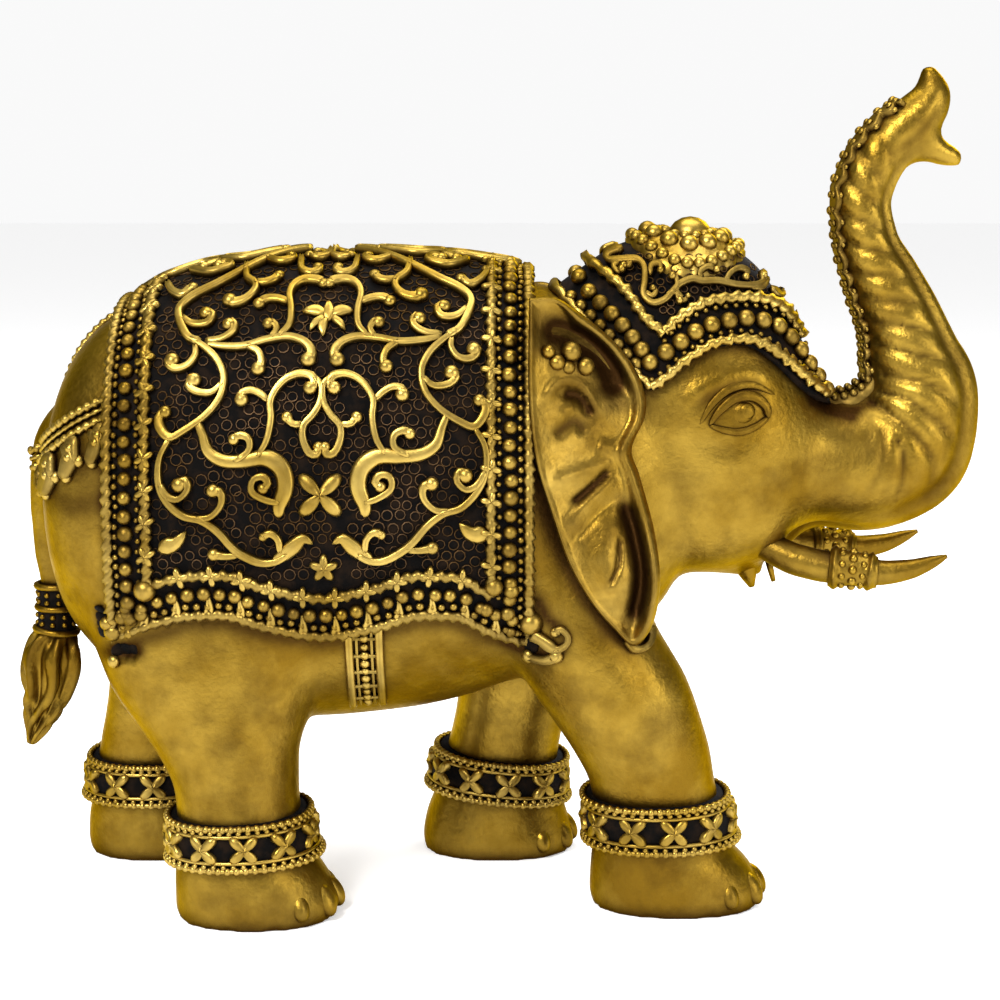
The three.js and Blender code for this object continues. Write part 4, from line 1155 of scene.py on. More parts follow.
def medallion(shape):
    """The scalloped medallion on top of the head, draped over it, with its pearls and knob."""
    turn = even_turns(160)
    scallop = 1 + 0.035 * np.abs(np.sin(turn * 10))
    levels = np.linspace(head_table[-1][0], 118, 160)
    rear, front, half = (head(levels)[:, i] for i in range(3))

    def dome(x, y):
        """Height of the cap above a place seen from above."""
        along = np.abs(x[..., None] - (rear + front) / 2) / ((front - rear) / 2 + cap_lift)
        across = np.abs(y[..., None]) / (half + cap_lift)
        inside = along**head_exponent + across**head_exponent <= 1
        return levels[np.where(inside.any(-1), inside.argmax(-1), len(levels) - 1)]

    def draped(radius, angle, lift):
        x, y = medallion_x + radius * np.cos(angle), medallion_share * radius * np.sin(angle)
        return np.stack([x, y, dome(x, y) + lift], -1)

    scalloped_from = 9
    rings = []
    for radius, lift in medallion_tiers:
        rings.append(draped(radius * np.where(radius > scalloped_from, scallop, 1), turn, lift))
    shape.add_rings(rings)
    for radius, lift, size, number in medallion_pearls:
        angle = even_turns(number)
        shape.add_copies(fine_ball, draped(radius, angle, lift), size)
    knob = [[(4.5, 0, 0), (0, 4.5, 0), (0, 0, 3.7)]]
    shape.add_copies(fine_ball, [(39.2, 0, 137.3)], 1.0, knob)


# Ears

def ear_place(x, z, out, side):
    start, slant = np.moveaxis(ear_surface(np.clip(z, ear_plane[0][0], ear_plane[-1][0])), -1, 0)
    return np.stack([x, side * (start + slant * (ear_front - x) + out), z], -1)


# Folds and hollows of the ear: path in the side view, half width, height (negative digs in)
ear_forms = [
    ([(7.8, 119.6), (13, 118.8), (18.2, 115.6), (21.8, 110.8), (22.2, 105.8)], 3.0, -2.6),
    ([(9.2, 112), (12, 112.6), (16.5, 112.2), (20, 108), (21.4, 102)], 2.4, 0.9),
    ([(8.5, 106.3), (11.5, 109.6), (16.3, 108.6), (19, 103.2)], 1.1, 0.9),
    ([(12.3, 107.2), (15.6, 106.4), (18, 102.6)], 1.1, -1.3),
    ([(10.5, 99.2), (14.5, 101.8), (16.8, 99.4)], 1.2, -0.9),
    ([(12, 103.6), (14.6, 104.6)], 1.2, 0.5),
    ([(26.5, 96.6), (22.4, 96.4), (19, 97)], 1.6, 1.0),
    ([(22.5, 94.2), (17, 92.4), (10.4, 90.6)], 1.5, 0.8),
    ([(21.6, 92), (18, 89), (14, 85.8)], 0.8, -1.3),
    ([(22.6, 91), (17.5, 86.6), (13.2, 81)], 1.9, 0.9),
    ([(22.6, 86.4), (18, 82.6), (14, 78.4)], 0.9, -0.4),
    ([(22.4, 83), (20.6, 76), (22, 68)], 3.2, 0.9),
    ([(23.6, 79), (23.2, 74), (21.4, 70)], 0.5, -0.9),
    ([(24.2, 86), (26.4, 79), (27.7, 71.6), (26.8, 65), (25.4, 62.6)], 1.6, -2.1),
    ([(26.5, 95), (28.4, 88), (30.2, 80), (31, 71), (29.6, 62)], 0.9, 0.6),
]
ear_nodules = [
    (9.4, 115.6, 1.4), (11, 113.4, 1.7), (13.8, 115.4, 2.1), (13.2, 112.4, 1.5), (16.6, 112.4, 1.9),
]  # X, Z, radius


def ear_relief(flat, depth, broad):
    """Height of the ear's relief at places in the side view, and how free of painted shade and patina they
    are.
    """
    middle = 0.6 + 0.9 * broad
    rim = (0.35 + 1.3 * broad) * np.exp(-(((depth - middle) / (0.55 + 0.75 * broad)) ** 2))
    rim = rim - 0.6 * np.clip(depth / 3.2, 0, 1)
    relief = rim - np.clip(0.35 - depth, 0, 1) * 2.2
    inside = np.clip((depth - 0.6) / 1.5, 0, 1)
    clear_of_painted_shade_and_patina = np.ones(len(flat))
    for path, half, height in ear_forms:
        far, share = line_distance(flat, smooth_path(path, 1.0))
        fade = np.clip(np.minimum(share, 1 - share) * 6 + 0.35, 0, 1)
        bell = np.exp(-((far / half) ** 2)) * fade
        relief = relief + inside * height * bell
        if height < -0.6:
            clear_of_painted_shade_and_patina = clear_of_painted_shade_and_patina - 1.6 * bell * inside * min(1, -height / 1.6)
    return relief, np.clip(clear_of_painted_shade_and_patina, 0, 1)


def make_ear(side, name, material):
    """An ear: rings from its edge inwards to its spine, with a rim, folds and sunken places."""
    edge = smooth_path(ear_outline + ear_outline[:1], 0.42)[:-1]
    spine = smooth_path(ear_spine, 0.8)
    nearest = spine[np.argmin(np.linalg.norm(edge[:, None] - spine[None], axis=2), axis=1)]
    for _ in range(12):
        nearest = (np.roll(nearest, 1, 0) + nearest + np.roll(nearest, -1, 0)) / 3
    span = np.linalg.norm(edge - nearest, axis=1)
    rings = [ear_place(*(nearest + (edge - nearest) * 0.94).T, -ear_thickness, side)]
    tint = [np.full(len(edge), 0.8)]
    for inward in np.concatenate([[0, 0.12, 0.3], np.linspace(0.5, 14, 40)]):
        portion = np.clip(1 - inward / np.maximum(span, 2), 0, 1)
        flat = nearest + (edge - nearest) * portion[:, None]
        closed = portion < 0.04
        gaps = np.linalg.norm(flat[:, None] - spine[None], axis=2)
        flat = np.where(closed[:, None], spine[np.argmin(gaps, axis=1)], flat)
        broad = np.clip(0.5 + (edge[:, 0] - nearest[:, 0]) / 5, 0, 1)
        relief, clear_of_painted_shade_and_patina = ear_relief(flat, span * (1 - portion), broad)
        rings.append(ear_place(flat[:, 0], flat[:, 1], relief, side))
        tint.append(clear_of_painted_shade_and_patina)
    shape = Shape()
    rings = np.array(rings)
    if side > 0:
        rings = rings[:, ::-1]
        tint = [row[::-1] for row in tint]
    shape.add_rings(rings, last=False)
    for x, z, radius in ear_nodules:
        ball = ear_place(x, z, -0.5, side)
        shape.add_copies(fine_ball, ball, radius, [np.diag([1, 1.1, 1.0])])
        tint.append(np.ones(len(fine_ball[0])))
    ear = piece(name, shape, material, np.concatenate(tint))
    skin = bmesh.new()
    skin.from_mesh(ear.data)
    bmesh.ops.remove_doubles(skin, verts=skin.verts, dist=1e-5)
    skin.to_mesh(ear.data)
    skin.free()
    return ear


# Eyes

eye_balls = [(48.6, 102.6, 3.1, -2.05, 0.85), (49.2, 102.9, 1.7, -0.1, 0.5)]  # X, Z, radius, lift, flatness
eye_folds = [
    ([(41.6, 100.2), (43.8, 103.2), (46.9, 105.5), (50.4, 105.7), (53, 103.8), (53.6, 101.4)],
     [0.4, 0.85, 1.0, 0.9, 0.6], -0.3, 1.2),
    ([(41.6, 100.2), (44.5, 99.2), (47.8, 98.8), (51, 99.8), (53.6, 101.6)],
     [0.4, 0.65, 0.75, 0.65, 0.5], -0.3, 0.95),
    ([(39.8, 100.4), (42.4, 104.6), (46, 107.4), (50.6, 108), (55, 106)],
     [0.3, 0.8, 1.0, 0.8, 0.3], -0.6, 0.85),
]  # upper lid, lower lid and brow: path, half widths, base, height


def make_eye(side, name, material):
    surface = side_surface(head_side, side)
    shape = Shape()
    for x, z, radius, lift, flat in eye_balls:
        balls(shape, surface, [(x, z)], radius, lift, flat, sphere(28, 18))
    for path, half, base, height in eye_folds:
        ridge(shape, surface, path, half, base, height, step=0.3)
    return piece(name, shape, material)


# Trunk band: a scalloped filigree strip along the trunk's front, from the cap to the tip

def trunk_surface(places_from, places_to):
    """Places on the trunk's front given by the place along its table and the Y."""
    dense = np.linspace(places_from, places_to, 400)
    middle, ahead, up, thick, wide = middle_frames(trunk, dense)

    def at(place, y, lift=0.0):
        place, y, lift = as_arrays(place, y, lift)

        def pick(table):
            return np.stack([np.interp(place, dense, table[:, i]) for i in range(3)], -1)

        def sideward(value):
            return np.stack([np.zeros_like(y), value, np.zeros_like(y)], -1)

        t, w = np.interp(place, dense, thick), np.interp(place, dense, wide)
        bend = np.sqrt(np.clip(1 - (y / w) ** 2, 0.05, 1))
        normal = unit(pick(up) * bend[..., None] / t[..., None] + sideward(y / w**2))
        point = pick(middle) + pick(up) * (t * bend)[..., None] + sideward(y)
        return point + normal * lift[..., None], normal

    return at


# Profiles of the band and of its foot: share of the half width, lift
band_profile = [
    (-1, -1.5), (-1, 0.9), (-0.86, 1.25), (-0.7, 0.75), (0, 0.8), (0.7, 0.75), (0.86, 1.25), (1, 0.9),
    (1, -1.5),
]
foot_profile = [
    (-1, -2.5), (-1, 0.2), (-0.8, 0.9), (-0.6, 0.4), (0.6, 0.4), (0.8, 0.9), (1, 0.2), (1, -2.5),
]
foot_line = [
    (61.2, 111), (64, 107), (67.2, 104.8), (70.8, 104.4), (74, 105.6), (76.6, 108.6), (77.6, 112.4),
]  # in the side view


def trunk_band(material):
    surface = trunk_surface(3.2, 12.6)
    shape = Shape()
    places = np.linspace(3.9, 12.1, 260)
    middle, *_ = middle_frames(trunk, places)
    length = run(middle)
    half = 3.2 + 1.1 * np.abs(np.sin(math.pi * length / 3.4)) - 0.7 * length / length[-1]
    strip = []
    for across, lift in band_profile:
        strip.append(surface(places, across * half, lift)[0])
    shape.add_rings(np.stack(strip, 1))
    lengths = np.arange(1.2, length[-1] - 0.5, 2.1)
    along = np.interp(lengths, length, places)
    for i, place in enumerate(along):
        balls(shape, surface, [(place, 0)], 0.95 if i % 2 else 0.7, 0.8, 0.7)
        for y in (-2, 2):
            balls(shape, surface, [(place, y)], 0.75, 0.8, 0.7)
        if i % 2 == 0:
            edge = float(np.interp(place, places, half))
            for y in (-edge, edge):
                balls(shape, surface, [(place, y)], 0.7, 0.5, 0.6)
    return piece("trunk_band", shape, material)


def band_foot(material):
    """Where the band crosses the valley between the forehead and the trunk."""
    shape = Shape()
    line = smooth_path(foot_line, 0.5)
    up = sideways(line)
    number = len(line)
    length = np.linspace(0, 1, number)
    half = 6.6 + 0.8 * np.abs(np.sin(length * math.pi * 6)) - 2.6 * length
    rings = []
    for across, lift in foot_profile:
        sag = 0.05 * (across * half) ** 2
        flat = line + up * (lift - sag)[:, None]
        rings.append(np.stack([flat[:, 0], across * half, flat[:, 1]], -1))
    shape.add_rings(np.stack(rings, 1))
    for i in range(1, number - 1, 4):
        for across in (-0.8, -0.3, 0.3, 0.8):
            y = across * half[i]
            flat = line[i] + up[i] * (0.8 - 0.05 * y * y)
            shape.add_copies(small_ball, [(flat[0], y, flat[1])], 0.85)
    return piece("trunk_band_foot", shape, material)


# Anklets

anklets = {
    "right_front": (13.9, 10.2, 0.02), "right_hind": (12.6, 9.4, 0.03), "left_front": (13.2, 9.6, -0.12),
    "left_hind": (12.8, 9.4, 0.0),
}  # bottom above the ground, height, slope along X


def make_anklet(name, material, dark):
    low, height, slope = anklets[name]
    leg = legs[name]
    rear, front = leg(low)[:2]
    middle = (rear + front) / 2

    def surface(turn, z, lift=0.0):
        turn, z, lift = as_arrays(turn, z, lift)
        values = leg(z)
        along, across = rounded(turn, leg_exponent)
        x = (values[..., 0] + values[..., 1]) / 2 + along * (values[..., 1] - values[..., 0]) / 2
        y = values[..., 2] + across * values[..., 3]
        normal = unit(np.stack([np.cos(turn), np.sin(turn), np.zeros_like(turn)], -1))
        point = np.stack([x, y, z + slope * (x - middle)], -1)
        return point + normal * lift[..., None], normal

    turn = even_turns(160)
    ground = Shape()
    profile = [(0, -1), (0.04, 1.1), (0.2, 1.5), (0.5, 1.8), (0.8, 1.5), (0.96, 1.1), (1, -1)]
    ground.add_rings([surface(turn, low + up * height, lift)[0] for up, lift in profile])
    piece("anklet_ground_" + name, ground, dark)
    shape = Shape()
    for up, radius in ((0.06, 0.55), (0.22, 0.45), (0.78, 0.45), (0.94, 0.55)):
        loop, _ = surface(np.linspace(0, 2 * math.pi, 160), low + up * height, anklet_lift)
        tube(shape, loop, radius, 6)
    every_turn = np.linspace(0, 2 * math.pi, 400)
    ring, _ = surface(every_turn, low, 1)
    around = run(ring)
    for up, pitch, radius in ((0.06, 1.75, 0.78), (0.14, 1.9, 0.6), (0.86, 1.9, 0.6), (0.94, 1.75, 0.78)):
        number = int(around[-1] / pitch)
        turns = np.interp(np.arange(number) / number * around[-1], around, every_turn)
        points, normal = surface(turns, low + up * height, 2.0)
        shape.add_copies(small_ball, points, radius)
    number = int(around[-1] / 7.7)
    flower = petals(4, 3.7, 0.3, 1.3)
    for i in range(number):
        turn_here = float(np.interp((i + 0.5) / number * around[-1], around, every_turn))
        point, normal = surface(turn_here, low + height / 2, 1.7)
        side_way = unit(np.cross([0, 0, 1.0], normal))
        up_way = np.cross(normal, side_way)
        turned = np.array([side_way + up_way, up_way - side_way, normal * math.sqrt(2)]) / math.sqrt(2)
        shape.add_copies(flower, [point], 1.0, [turned])
    piece("anklet_" + name, shape, material)


def tube(shape, line, radius, sides=8):
    """A round wire along a line of points in space."""
    line = np.asarray(line, float)
    ahead = unit(np.gradient(line, axis=0))
    helper = np.where(np.abs(ahead[:, 2:3]) < 0.9, [[0, 0, 1.0]], [[1.0, 0, 0]])
    first = unit(np.cross(helper, ahead))
    second = np.cross(ahead, first)
    turn = even_turns(sides)
    radius = np.broadcast_to(np.asarray(radius, float), (len(line),))[:, None, None]
    spokes = first[:, None] * np.cos(turn)[:, None] + second[:, None] * np.sin(turn)[:, None]
    shape.add_rings(line[:, None] + radius * spokes)


# Toe nails: angle round the leg, size
nails = ((-0.95, 0.85), (-0.42, 1.0), (0.05, 1.0), (0.5, 0.95))


def toe_nails(material):
    shape = Shape()
    form = sphere(20, 14)
    for leg in legs.values():
        for turn, size in nails:
            ring = leg_ring(leg, 4.2, -1.3, np.array([turn]))[0]
            out = np.array([math.cos(turn), math.sin(turn), 0.0])
            side_way = np.array([-out[1], out[0], 0])
            up = np.array([-0.35 * out[0], -0.35 * out[1], 1.0])
            axes = [side_way * 2.3 * size, up * 3.4 * size, out * 2.3]
            shape.add_copies(form, [ring + np.array([0, 0, 0.2])], 1.0, [axes])
    shape.points = [np.maximum(points, [[-1e9, -1e9, 0.0]]) for points in shape.points]
    return piece("toe_nails", shape, material)


# Girth strap

def girth(material):
    shape = Shape()
    for side in (1, -1):
        start = float(hem_down(strap_x)) - 2
        downs = np.linspace(start, strap_end, 90)
        for beside, half, height in ((strap_half, 0.8, 1.5), (strap_half / 2, 0.3, 0.9)):
            for x in (strap_x - beside, strap_x + beside):
                ridge(shape, on_back, np.stack([np.full(90, x), side * downs], -1), half, 0, height, ends=1)
        for down in np.arange(start, strap_end, 4.2):
            bar = [(strap_x - strap_half, side * down), (strap_x + strap_half, side * down)]
            ridge(shape, on_back, bar, 0.3, 0, 1.1, ends=1)
        for i, down in enumerate(np.arange(start, strap_end, 2.1)):
            balls(shape, on_back, [(strap_x, side * down)], 1.05 if i % 3 else 0.9, 0.5, 0.8)
    return piece("girth_strap", shape, material)


# Harness over the rump, with its pendants

tail_rows = tail(np.linspace(0, tail_table[-1][0], 200))


def rump_side(x, z):
    """Half the width of the rump, or of the tail where that is wider."""
    top, bottom, half, middle = np.moveaxis(torso(x), -1, 0)
    up = np.where(z > middle, (z - middle) / (top - middle), (middle - z) / (middle - bottom))
    rump = half * np.clip(1 - np.clip(up, 0, 1) ** torso_exponent, 0.001, 1) ** (1 / torso_exponent)
    tail_x, thick, wide = (np.interp(-z, -tail_rows[:, 1], tail_rows[:, i]) for i in (0, 2, 3))
    return np.maximum(rump, wide * np.sqrt(np.clip(1 - ((x - tail_x) / thick) ** 2, 0.001, 1)))


def twisted(shape, line, radius, pitch=1.9):
    """A cast cord along a line of points in space."""
    line = smooth_path(line, 0.3)
    length = run(line)
    tube(shape, line, radius * (1 + 0.22 * np.sin(2 * math.pi * length / pitch)))


crupper_line = [(-77, 106), (-83, 103), (-88, 99.6), (-91.6, 96.4), (-94.6, 94), (-97, 92.8)]
crupper_cords = [(0, 0.85), (1.7, 0.5), (3.6, 0.8)]  # how far below the line, radius


def crupper(material):
    shape = Shape()
    for side in (-1, 1):
        surface = side_surface(rump_side, side)
        upper = smooth_path(crupper_line, 0.8)
        for drop, radius in crupper_cords:
            twisted(shape, surface(upper[:, 0], upper[:, 1] - drop, 0.5)[0], radius)
        hung = smooth_path(upper[upper[:, 0] > -93.2] - np.array([0, 4.6]), 3.1)
        for i, place in enumerate(hung):
            low = place - np.array([0.2, 5.0 + 1.6 * (i % 2)])
            curl = place + np.array([1.3 if i % 2 else -1.1, -2.4])
            ridge(shape, surface, [place, curl, low], [0.8, 1.6, 1.0], 0, 1.7)
            balls(shape, surface, [low + np.array([0.5, 0.4])], 1.3, 0.2)
            balls(shape, surface, [curl], 1.0, 1.1)
    spine = np.linspace(cloth_rear - 0.5, torso_table[0][0] + 0.1, 60)
    twisted(shape, np.stack([spine, np.zeros(60), torso(spine)[:, 0] + 0.3], -1), 0.8)
    return piece("crupper", shape, material)


# Tail: ring and tuft

def tail_ring(material, dark):
    ring = Shape()
    places = np.linspace(3.95, 5.3, 40)
    turn = even_turns(60)
    ground = Shape()
    limb(ground, tail, places[2:-2], turn, np.full((36, 60), 0.6))
    piece("tail_ring_ground", ground, dark)
    rings = limb(Shape(), tail, places, turn, np.full((40, 60), 0.75))
    for row in (2, 19, 37):
        tube(ring, np.concatenate([rings[row], rings[row][:1]]), 0.7)
    middle, ahead, up, thick, wide = middle_frames(tail, places)
    for row in (8, 14, 25, 31):
        for angle in even_turns(10, (row % 2) / 2):
            place = middle[row] + up[row] * math.cos(angle) * (thick[row] + 0.6)
            place = place + np.array([0, math.sin(angle) * (wide[row] + 0.6), 0])
            ring.add_copies(small_ball, [place], 0.62)
    piece("tail_ring", ring, material)


def tail_tuft(material):
    tuft = Shape()
    places = np.linspace(tuft_start, tail_table[-1][0], 90)
    turn = even_turns(120)
    share = np.linspace(0, 1, 90)[:, None]
    wave = np.sin(6 * turn[None] + 7.5 * share + 1.8 * np.sin(8 * share))
    lock = np.abs(wave) ** 0.6 * np.sign(wave)
    fine = np.sin(13 * turn[None] - 4 * share)
    window = np.sin(math.pi * np.clip(share * 0.97 + 0.03, 0, 1)) ** 0.5
    limb(tuft, tail, places, turn, window * (1.0 * lock + 0.25 * fine))
    return piece("tail_tuft", tuft, material)


# Tusks and their cuffs

def tusk_rings(places, lift, side, turn):
    values = tusk(places)
    middle = np.stack([values[:, 0], side * values[:, 2], values[:, 1]], -1)
    ahead = unit(np.gradient(middle, axis=0))
    across = unit(np.cross(ahead, [0, 0, 1.0]))
    up = np.cross(across, ahead)
    radius = (values[:, 3] + lift)[:, None, None]
    spokes = across[:, None] * np.cos(turn)[:, None] + up[:, None] * np.sin(turn)[:, None]
    return middle[:, None] + radius * spokes


def make_tusks(material):
    turn = even_turns(40)
    for side, name in sides:
        shape = Shape()
        places = np.linspace(0, tusk_table[-1][0], 90)
        shape.add_rings(tusk_rings(places, np.zeros(90), side, turn))
        # The tusk is darker on its upper side next to the cuff
        painted_shade_and_patina = np.exp(-(((places - 2.4) / 1.1) ** 2))[:, None] * np.clip(1.3 * np.sin(turn), 0, 1)[None]
        piece("tusk_" + name, shape, material, 1 - painted_shade_and_patina.ravel())
        tusk_cuff(side, name, material)


def tusk_cuff(side, name, material):
    """The sleeve round a tusk's root: two swellings and three rows of balls between them."""
    cuff = Shape()
    share = np.linspace(0, 1, 60)
    lift = 0.55 + sum(0.7 * np.exp(-(((share - middle) / 0.07) ** 2)) for middle in (0.12, 0.84))
    lift[0] = lift[-1] = -0.5
    cuff.add_rings(tusk_rings(np.linspace(2.0, 3.9, 60), lift, side, even_turns(40)))
    for place, number, size in ((2.5, 9, 0.75), (2.9, 9, 0.95), (3.3, 9, 0.7)):
        around = np.array([place - 0.1, place, place + 0.1])
        ring = tusk_rings(around, np.full(3, 0.45), side, even_turns(number) + place)[1]
        cuff.add_copies(small_ball, ring, size)
    piece("tusk_cuff_" + name, cuff, material)


lip_line = [(50.8, -3, 72.5), (51.4, -3, 69), (52.2, -3, 66.2), (52.9, -3, 63.9)]
rod_line = [(56.2, -1.5, 70), (56.9, -1.5, 67.5), (57.6, -1.5, 64.8)]


def chin_parts(material):
    shape = Shape()
    tube(shape, lip_line, [3.6, 2.9, 1.7, 0.6], 16)
    tube(shape, rod_line, [0.75, 0.7, 0.5])
    return piece("chin_rod", shape, material)


# Materials

def new_material(name):
    material = bpy.data.materials.new(name)
    material.use_nodes = True
    tree = material.node_tree
    return material, tree.nodes, tree.links, tree.nodes["Principled BSDF"]


def add_noise(nodes, links, scale, detail, roughness):
    coordinates = nodes.new("ShaderNodeTexCoord")
    node = nodes.new("ShaderNodeTexNoise")
    node.inputs["Scale"].default_value = scale
    node.inputs["Detail"].default_value = detail
    node.inputs["Roughness"].default_value = roughness
    links.new(coordinates.outputs["Object"], node.inputs["Vector"])
    return node.outputs["Fac"]


def add_bump(nodes, links, surface, height, strength, distance):
    relief = nodes.new("ShaderNodeBump")
    relief.inputs["Strength"].default_value = strength
    relief.inputs["Distance"].default_value = distance
    links.new(height, relief.inputs["Height"])
    links.new(relief.outputs["Normal"], surface.inputs["Normal"])


dulled = (0.56, 0.5, 0.3)  # shares of red, green and blue that are left in the browner brass


def brass_material(name, clean_colour, dark_colour, dirt, roughness, bump, crevice=(0.3, 0.85), painted_shade_and_patina=False):
    """Antique brass: satin metal with brown patina in recesses, grain and faint casting marks; with the flag
    set, also the painted shade and patina of its points.
    """
    material, nodes, links, surface = new_material(name)
    surface.inputs["Metallic"].default_value = 1.0
    surface.inputs["Specular Tint"].default_value = (*edge_tint, 1)

    def spread(value, low, high, to_low=0.0, to_high=1.0):
        node = nodes.new("ShaderNodeMapRange")
        node.inputs["From Min"].default_value = low
        node.inputs["From Max"].default_value = high
        node.inputs["To Min"].default_value = to_low
        node.inputs["To Max"].default_value = to_high
        links.new(value, node.inputs["Value"])
        return node.outputs["Result"]

    def combine(kind, first, second):
        node = nodes.new("ShaderNodeMath")
        node.operation = kind
        for socket, value in zip(node.inputs, (first, second)):
            if isinstance(value, float):
                socket.default_value = value
            else:
                links.new(value, socket)
        return node.outputs["Value"]

    def mix(factor, first, second):
        node = nodes.new("ShaderNodeMix")
        node.data_type = "RGBA"
        links.new(factor, node.inputs["Factor"])
        for socket, value in ((node.inputs["A"], first), (node.inputs["B"], second)):
            if isinstance(value, tuple):
                socket.default_value = (*value, 1)
            else:
                links.new(value, socket)
        return node.outputs["Result"]

    hollow = nodes.new("ShaderNodeAmbientOcclusion")
    hollow.samples = 8
    hollow.inputs["Distance"].default_value = 0.006
    open_air = spread(hollow.outputs["AO"], *crevice)
    painted = nodes.new("ShaderNodeAttribute")
    painted.attribute_name = "clear_of_painted_shade_and_patina"
    cloudy = add_noise(nodes, links, 90, 5, 0.6)
    grain = add_noise(nodes, links, 900, 3, 0.6)
    broad = add_noise(nodes, links, 42, 5, 0.6)
    patina_dirt_and_painted_shade = combine("MULTIPLY", open_air, spread(cloudy, 0.3, 0.55, 1.0 - dirt, 1.0))
    # With the flag set, the points' painted shade and patina darken the brass
    if painted_shade_and_patina:
        patina_dirt_and_painted_shade = combine("MULTIPLY", patina_dirt_and_painted_shade, painted.outputs["Fac"])
    geometry = nodes.new("ShaderNodeNewGeometry")
    edge = spread(geometry.outputs["Pointiness"], 0.46, 0.54)
    # Brighter on sharp edges; darker with patina, dirt and, with the flag set, painted shade
    wear_patina_and_painted_shade = combine("MULTIPLY", patina_dirt_and_painted_shade, combine("ADD", 0.55, combine("MULTIPLY", edge, 0.45)))
    dull_colour = tuple(level * share for level, share in zip(clean_colour, dulled))
    tone = mix(spread(broad, 0.38, 0.6), clean_colour, dull_colour)
    colour = mix(wear_patina_and_painted_shade, dark_colour, tone)
    links.new(colour, surface.inputs["Base Color"])
    rough = combine("ADD", spread(grain, 0.3, 0.7, roughness - 0.05, roughness + 0.07),
                    spread(wear_patina_and_painted_shade, 0.0, 1.0, 0.22, 0.0))
    links.new(rough, surface.inputs["Roughness"])
    if bump:
        marks = combine("ADD", grain, combine("MULTIPLY", cloudy, 1.5))
        add_bump(nodes, links, surface, marks, bump, 0.0004)
    return material


def dark_material():
    """The patinated ground under the scrolls: nearly black, slightly shiny."""
    material, nodes, links, surface = new_material("patina_ground")
    surface.inputs["Metallic"].default_value = 0.0
    surface.inputs["Roughness"].default_value = 0.75
    surface.inputs["Specular IOR Level"].default_value = 0.06
    cloudy = add_noise(nodes, links, 350, 4, 0.5)
    ramp = nodes.new("ShaderNodeValToRGB")
    ramp.color_ramp.elements[0].position = 0.45
    ramp.color_ramp.elements[0].color = (0.0012, 0.0008, 0.0006, 1)
    ramp.color_ramp.elements[1].position = 0.8
    ramp.color_ramp.elements[1].color = (0.012, 0.006, 0.0025, 1)
    links.new(cloudy, ramp.inputs["Fac"])
    links.new(ramp.outputs["Color"], surface.inputs["Base Color"])
    add_bump(nodes, links, surface, cloudy, 0.5, 0.0003)
    return material


# Build

gold = (0.34, 0.215, 0.029)
pale_gold = (0.50, 0.35, 0.085)
brown = (0.034, 0.015, 0.004)
edge_tint = (0.75, 0.6, 0.3)
# The ears' gold is lighter than the hide's: painted light for their brightly lit inner faces
ear_gold_painted_lighter = (0.42, 0.275, 0.05)
worn_gold = (0.34, 0.225, 0.045)
ring_brown = (0.12, 0.07, 0.035)
ring_dark = (0.01, 0.006, 0.003)
hide = brass_material("brass_hide", gold, brown, 0.5, 0.31, 0.35, painted_shade_and_patina=True)
# The ears' brass, in a lighter gold than the hide: painted light
ear_brass_painted_lighter = brass_material("brass_ears_painted_lighter", ear_gold_painted_lighter, brown, 0.5, 0.31, 0.35, painted_shade_and_patina=True)
worn_brass = brass_material("brass_beads", worn_gold, brown, 0.7, 0.36, 0.2, crevice=(0.25, 0.85))
ornament = brass_material("brass_ornament", pale_gold, brown, 0.45, 0.33, 0.12, crevice=(0.2, 0.75))
bronze = brass_material("bronze_rings", ring_brown, ring_dark, 0.5, 0.45, 0.1)
ground = dark_material()

body = make_body(hide)
cloth_ground(ground)
cloth_scrolls(ornament)
cloth_rings(bronze)
cloth_border(ornament, worn_brass)
corners(body, ornament, ground)
cap_ground(ground)
cap_ornament(ornament, bronze, worn_brass)
for ear_side, ear_name in sides:
    make_ear(ear_side, "ear_" + ear_name, ear_brass_painted_lighter)
for eye_side, eye_name in sides:
    make_eye(eye_side, "eye_" + eye_name, hide)
trunk_band(worn_brass)
band_foot(worn_brass)
for leg_name in legs:
    make_anklet(leg_name, ornament, ground)
toe_nails(hide)
girth(ornament)
crupper(ornament)
tail_ring(hide, ground)
tail_tuft(hide)
make_tusks(hide)
chin_parts(hide)


# Stage, light and camera

aim = (0.0, 0.0, 0.08)  # where the lights point, in metres


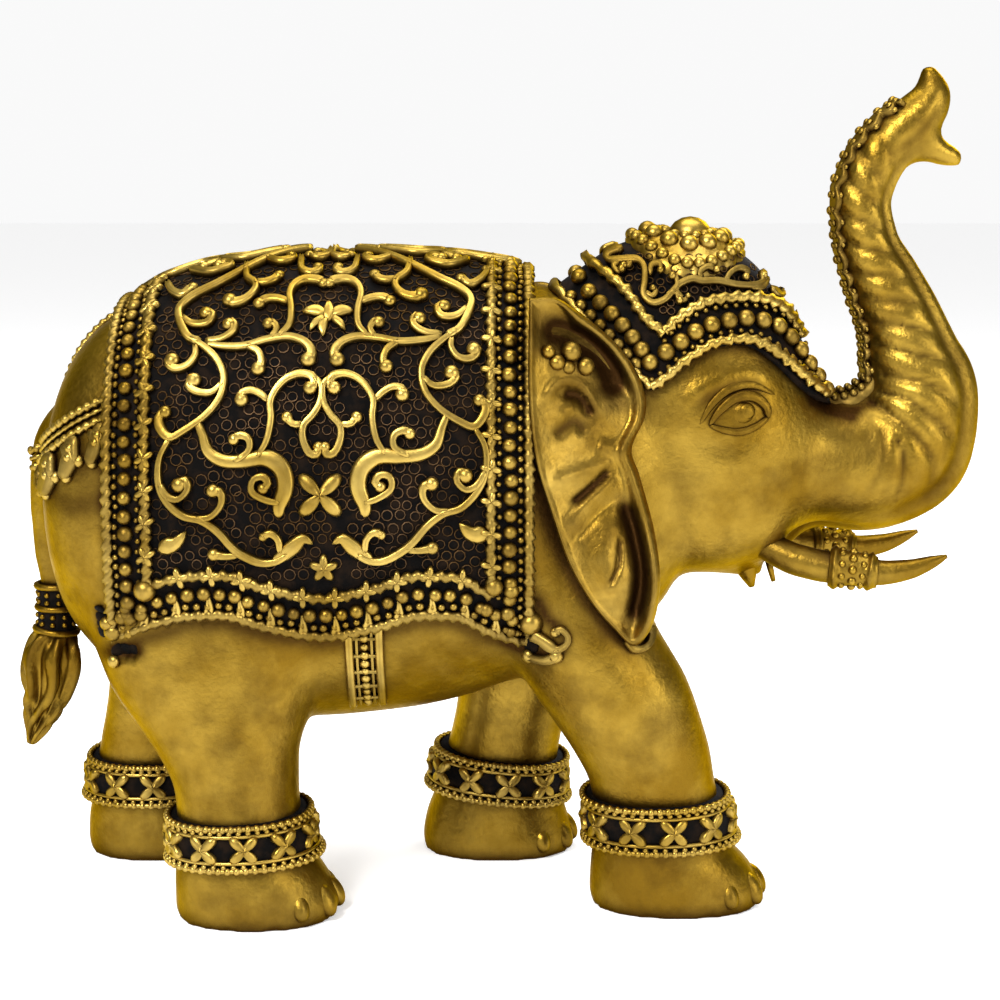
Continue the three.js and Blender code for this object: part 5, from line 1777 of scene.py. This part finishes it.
def make_floor():
    mesh = bpy.data.meshes.new("floor")
    size = 6.0  # half its length, in metres
    points = [(-size, -size, 0), (size, -size, 0), (size, size, 0), (-size, size, 0)]
    mesh.from_pydata(points, [], [(0, 1, 2, 3)])
    floor = bpy.data.objects.new("floor", mesh)
    bpy.context.scene.collection.objects.link(floor)
    material, _, _, surface = new_material("pale_floor")
    surface.inputs["Base Color"].default_value = (0.9, 0.9, 0.9, 1)
    surface.inputs["Roughness"].default_value = 0.9
    surface.inputs["Emission Color"].default_value = (1, 1, 1, 1)
    surface.inputs["Emission Strength"].default_value = 0.4
    mesh.materials.append(material)


def area_light(name, place, size, power):
    data = bpy.data.lights.new(name, "AREA")
    data.shape = "RECTANGLE"
    data.size, data.size_y = size
    data.energy = power
    light = bpy.data.objects.new(name, data)
    light.location = place
    direction = np.array(aim) - np.array(place)
    light.rotation_euler = Vector(direction).to_track_quat("-Z", "Y").to_euler()
    bpy.context.scene.collection.objects.link(light)


make_floor()
area_light("key", (-0.35, -0.75, 0.75), (0.35, 0.35), 13)
area_light("fill", (0.7, -0.6, 0.35), (0.5, 0.5), 4)
area_light("top", (0.05, 0.1, 0.9), (0.7, 0.5), 7)
area_light("rim", (0.5, 0.7, 0.5), (0.5, 0.4), 4)

world = bpy.data.worlds.new("studio")
world.use_nodes = True
world_nodes, world_links = world.node_tree.nodes, world.node_tree.links
background = world_nodes["Background"]
background.inputs["Strength"].default_value = 1.0
direction = world_nodes.new("ShaderNodeTexCoord")
parts = world_nodes.new("ShaderNodeSeparateXYZ")
sky = world_nodes.new("ShaderNodeValToRGB")
world_links.new(direction.outputs["Generated"], parts.inputs["Vector"])
world_links.new(parts.outputs["Z"], sky.inputs["Fac"])
world_links.new(sky.outputs["Color"], background.inputs["Color"])
bands = [(0.0, 0.95), (0.1, 0.95), (0.2, 0.3), (0.5, 0.16), (0.75, 0.7), (1.0, 0.9)]
ramp = sky.color_ramp
for place, _ in bands[1:-1]:
    ramp.elements.new(place)
for element, (place, level) in zip(ramp.elements, bands):
    element.position = place
    element.color = (level, level, level, 1)
bpy.context.scene.world = world
bpy.context.scene.view_settings.view_transform = "Standard"

camera_tilt = math.radians(8.61)
camera_data = bpy.data.cameras.new("camera")
camera_data.lens = 77.98
camera_data.sensor_width = 36
camera = bpy.data.objects.new("camera", camera_data)
camera.location = (shift * 0.001, -0.450, 0.150)
camera.rotation_euler = (math.pi / 2 - camera_tilt, 0, 0)
bpy.context.scene.collection.objects.link(camera)
bpy.context.scene.camera = camera
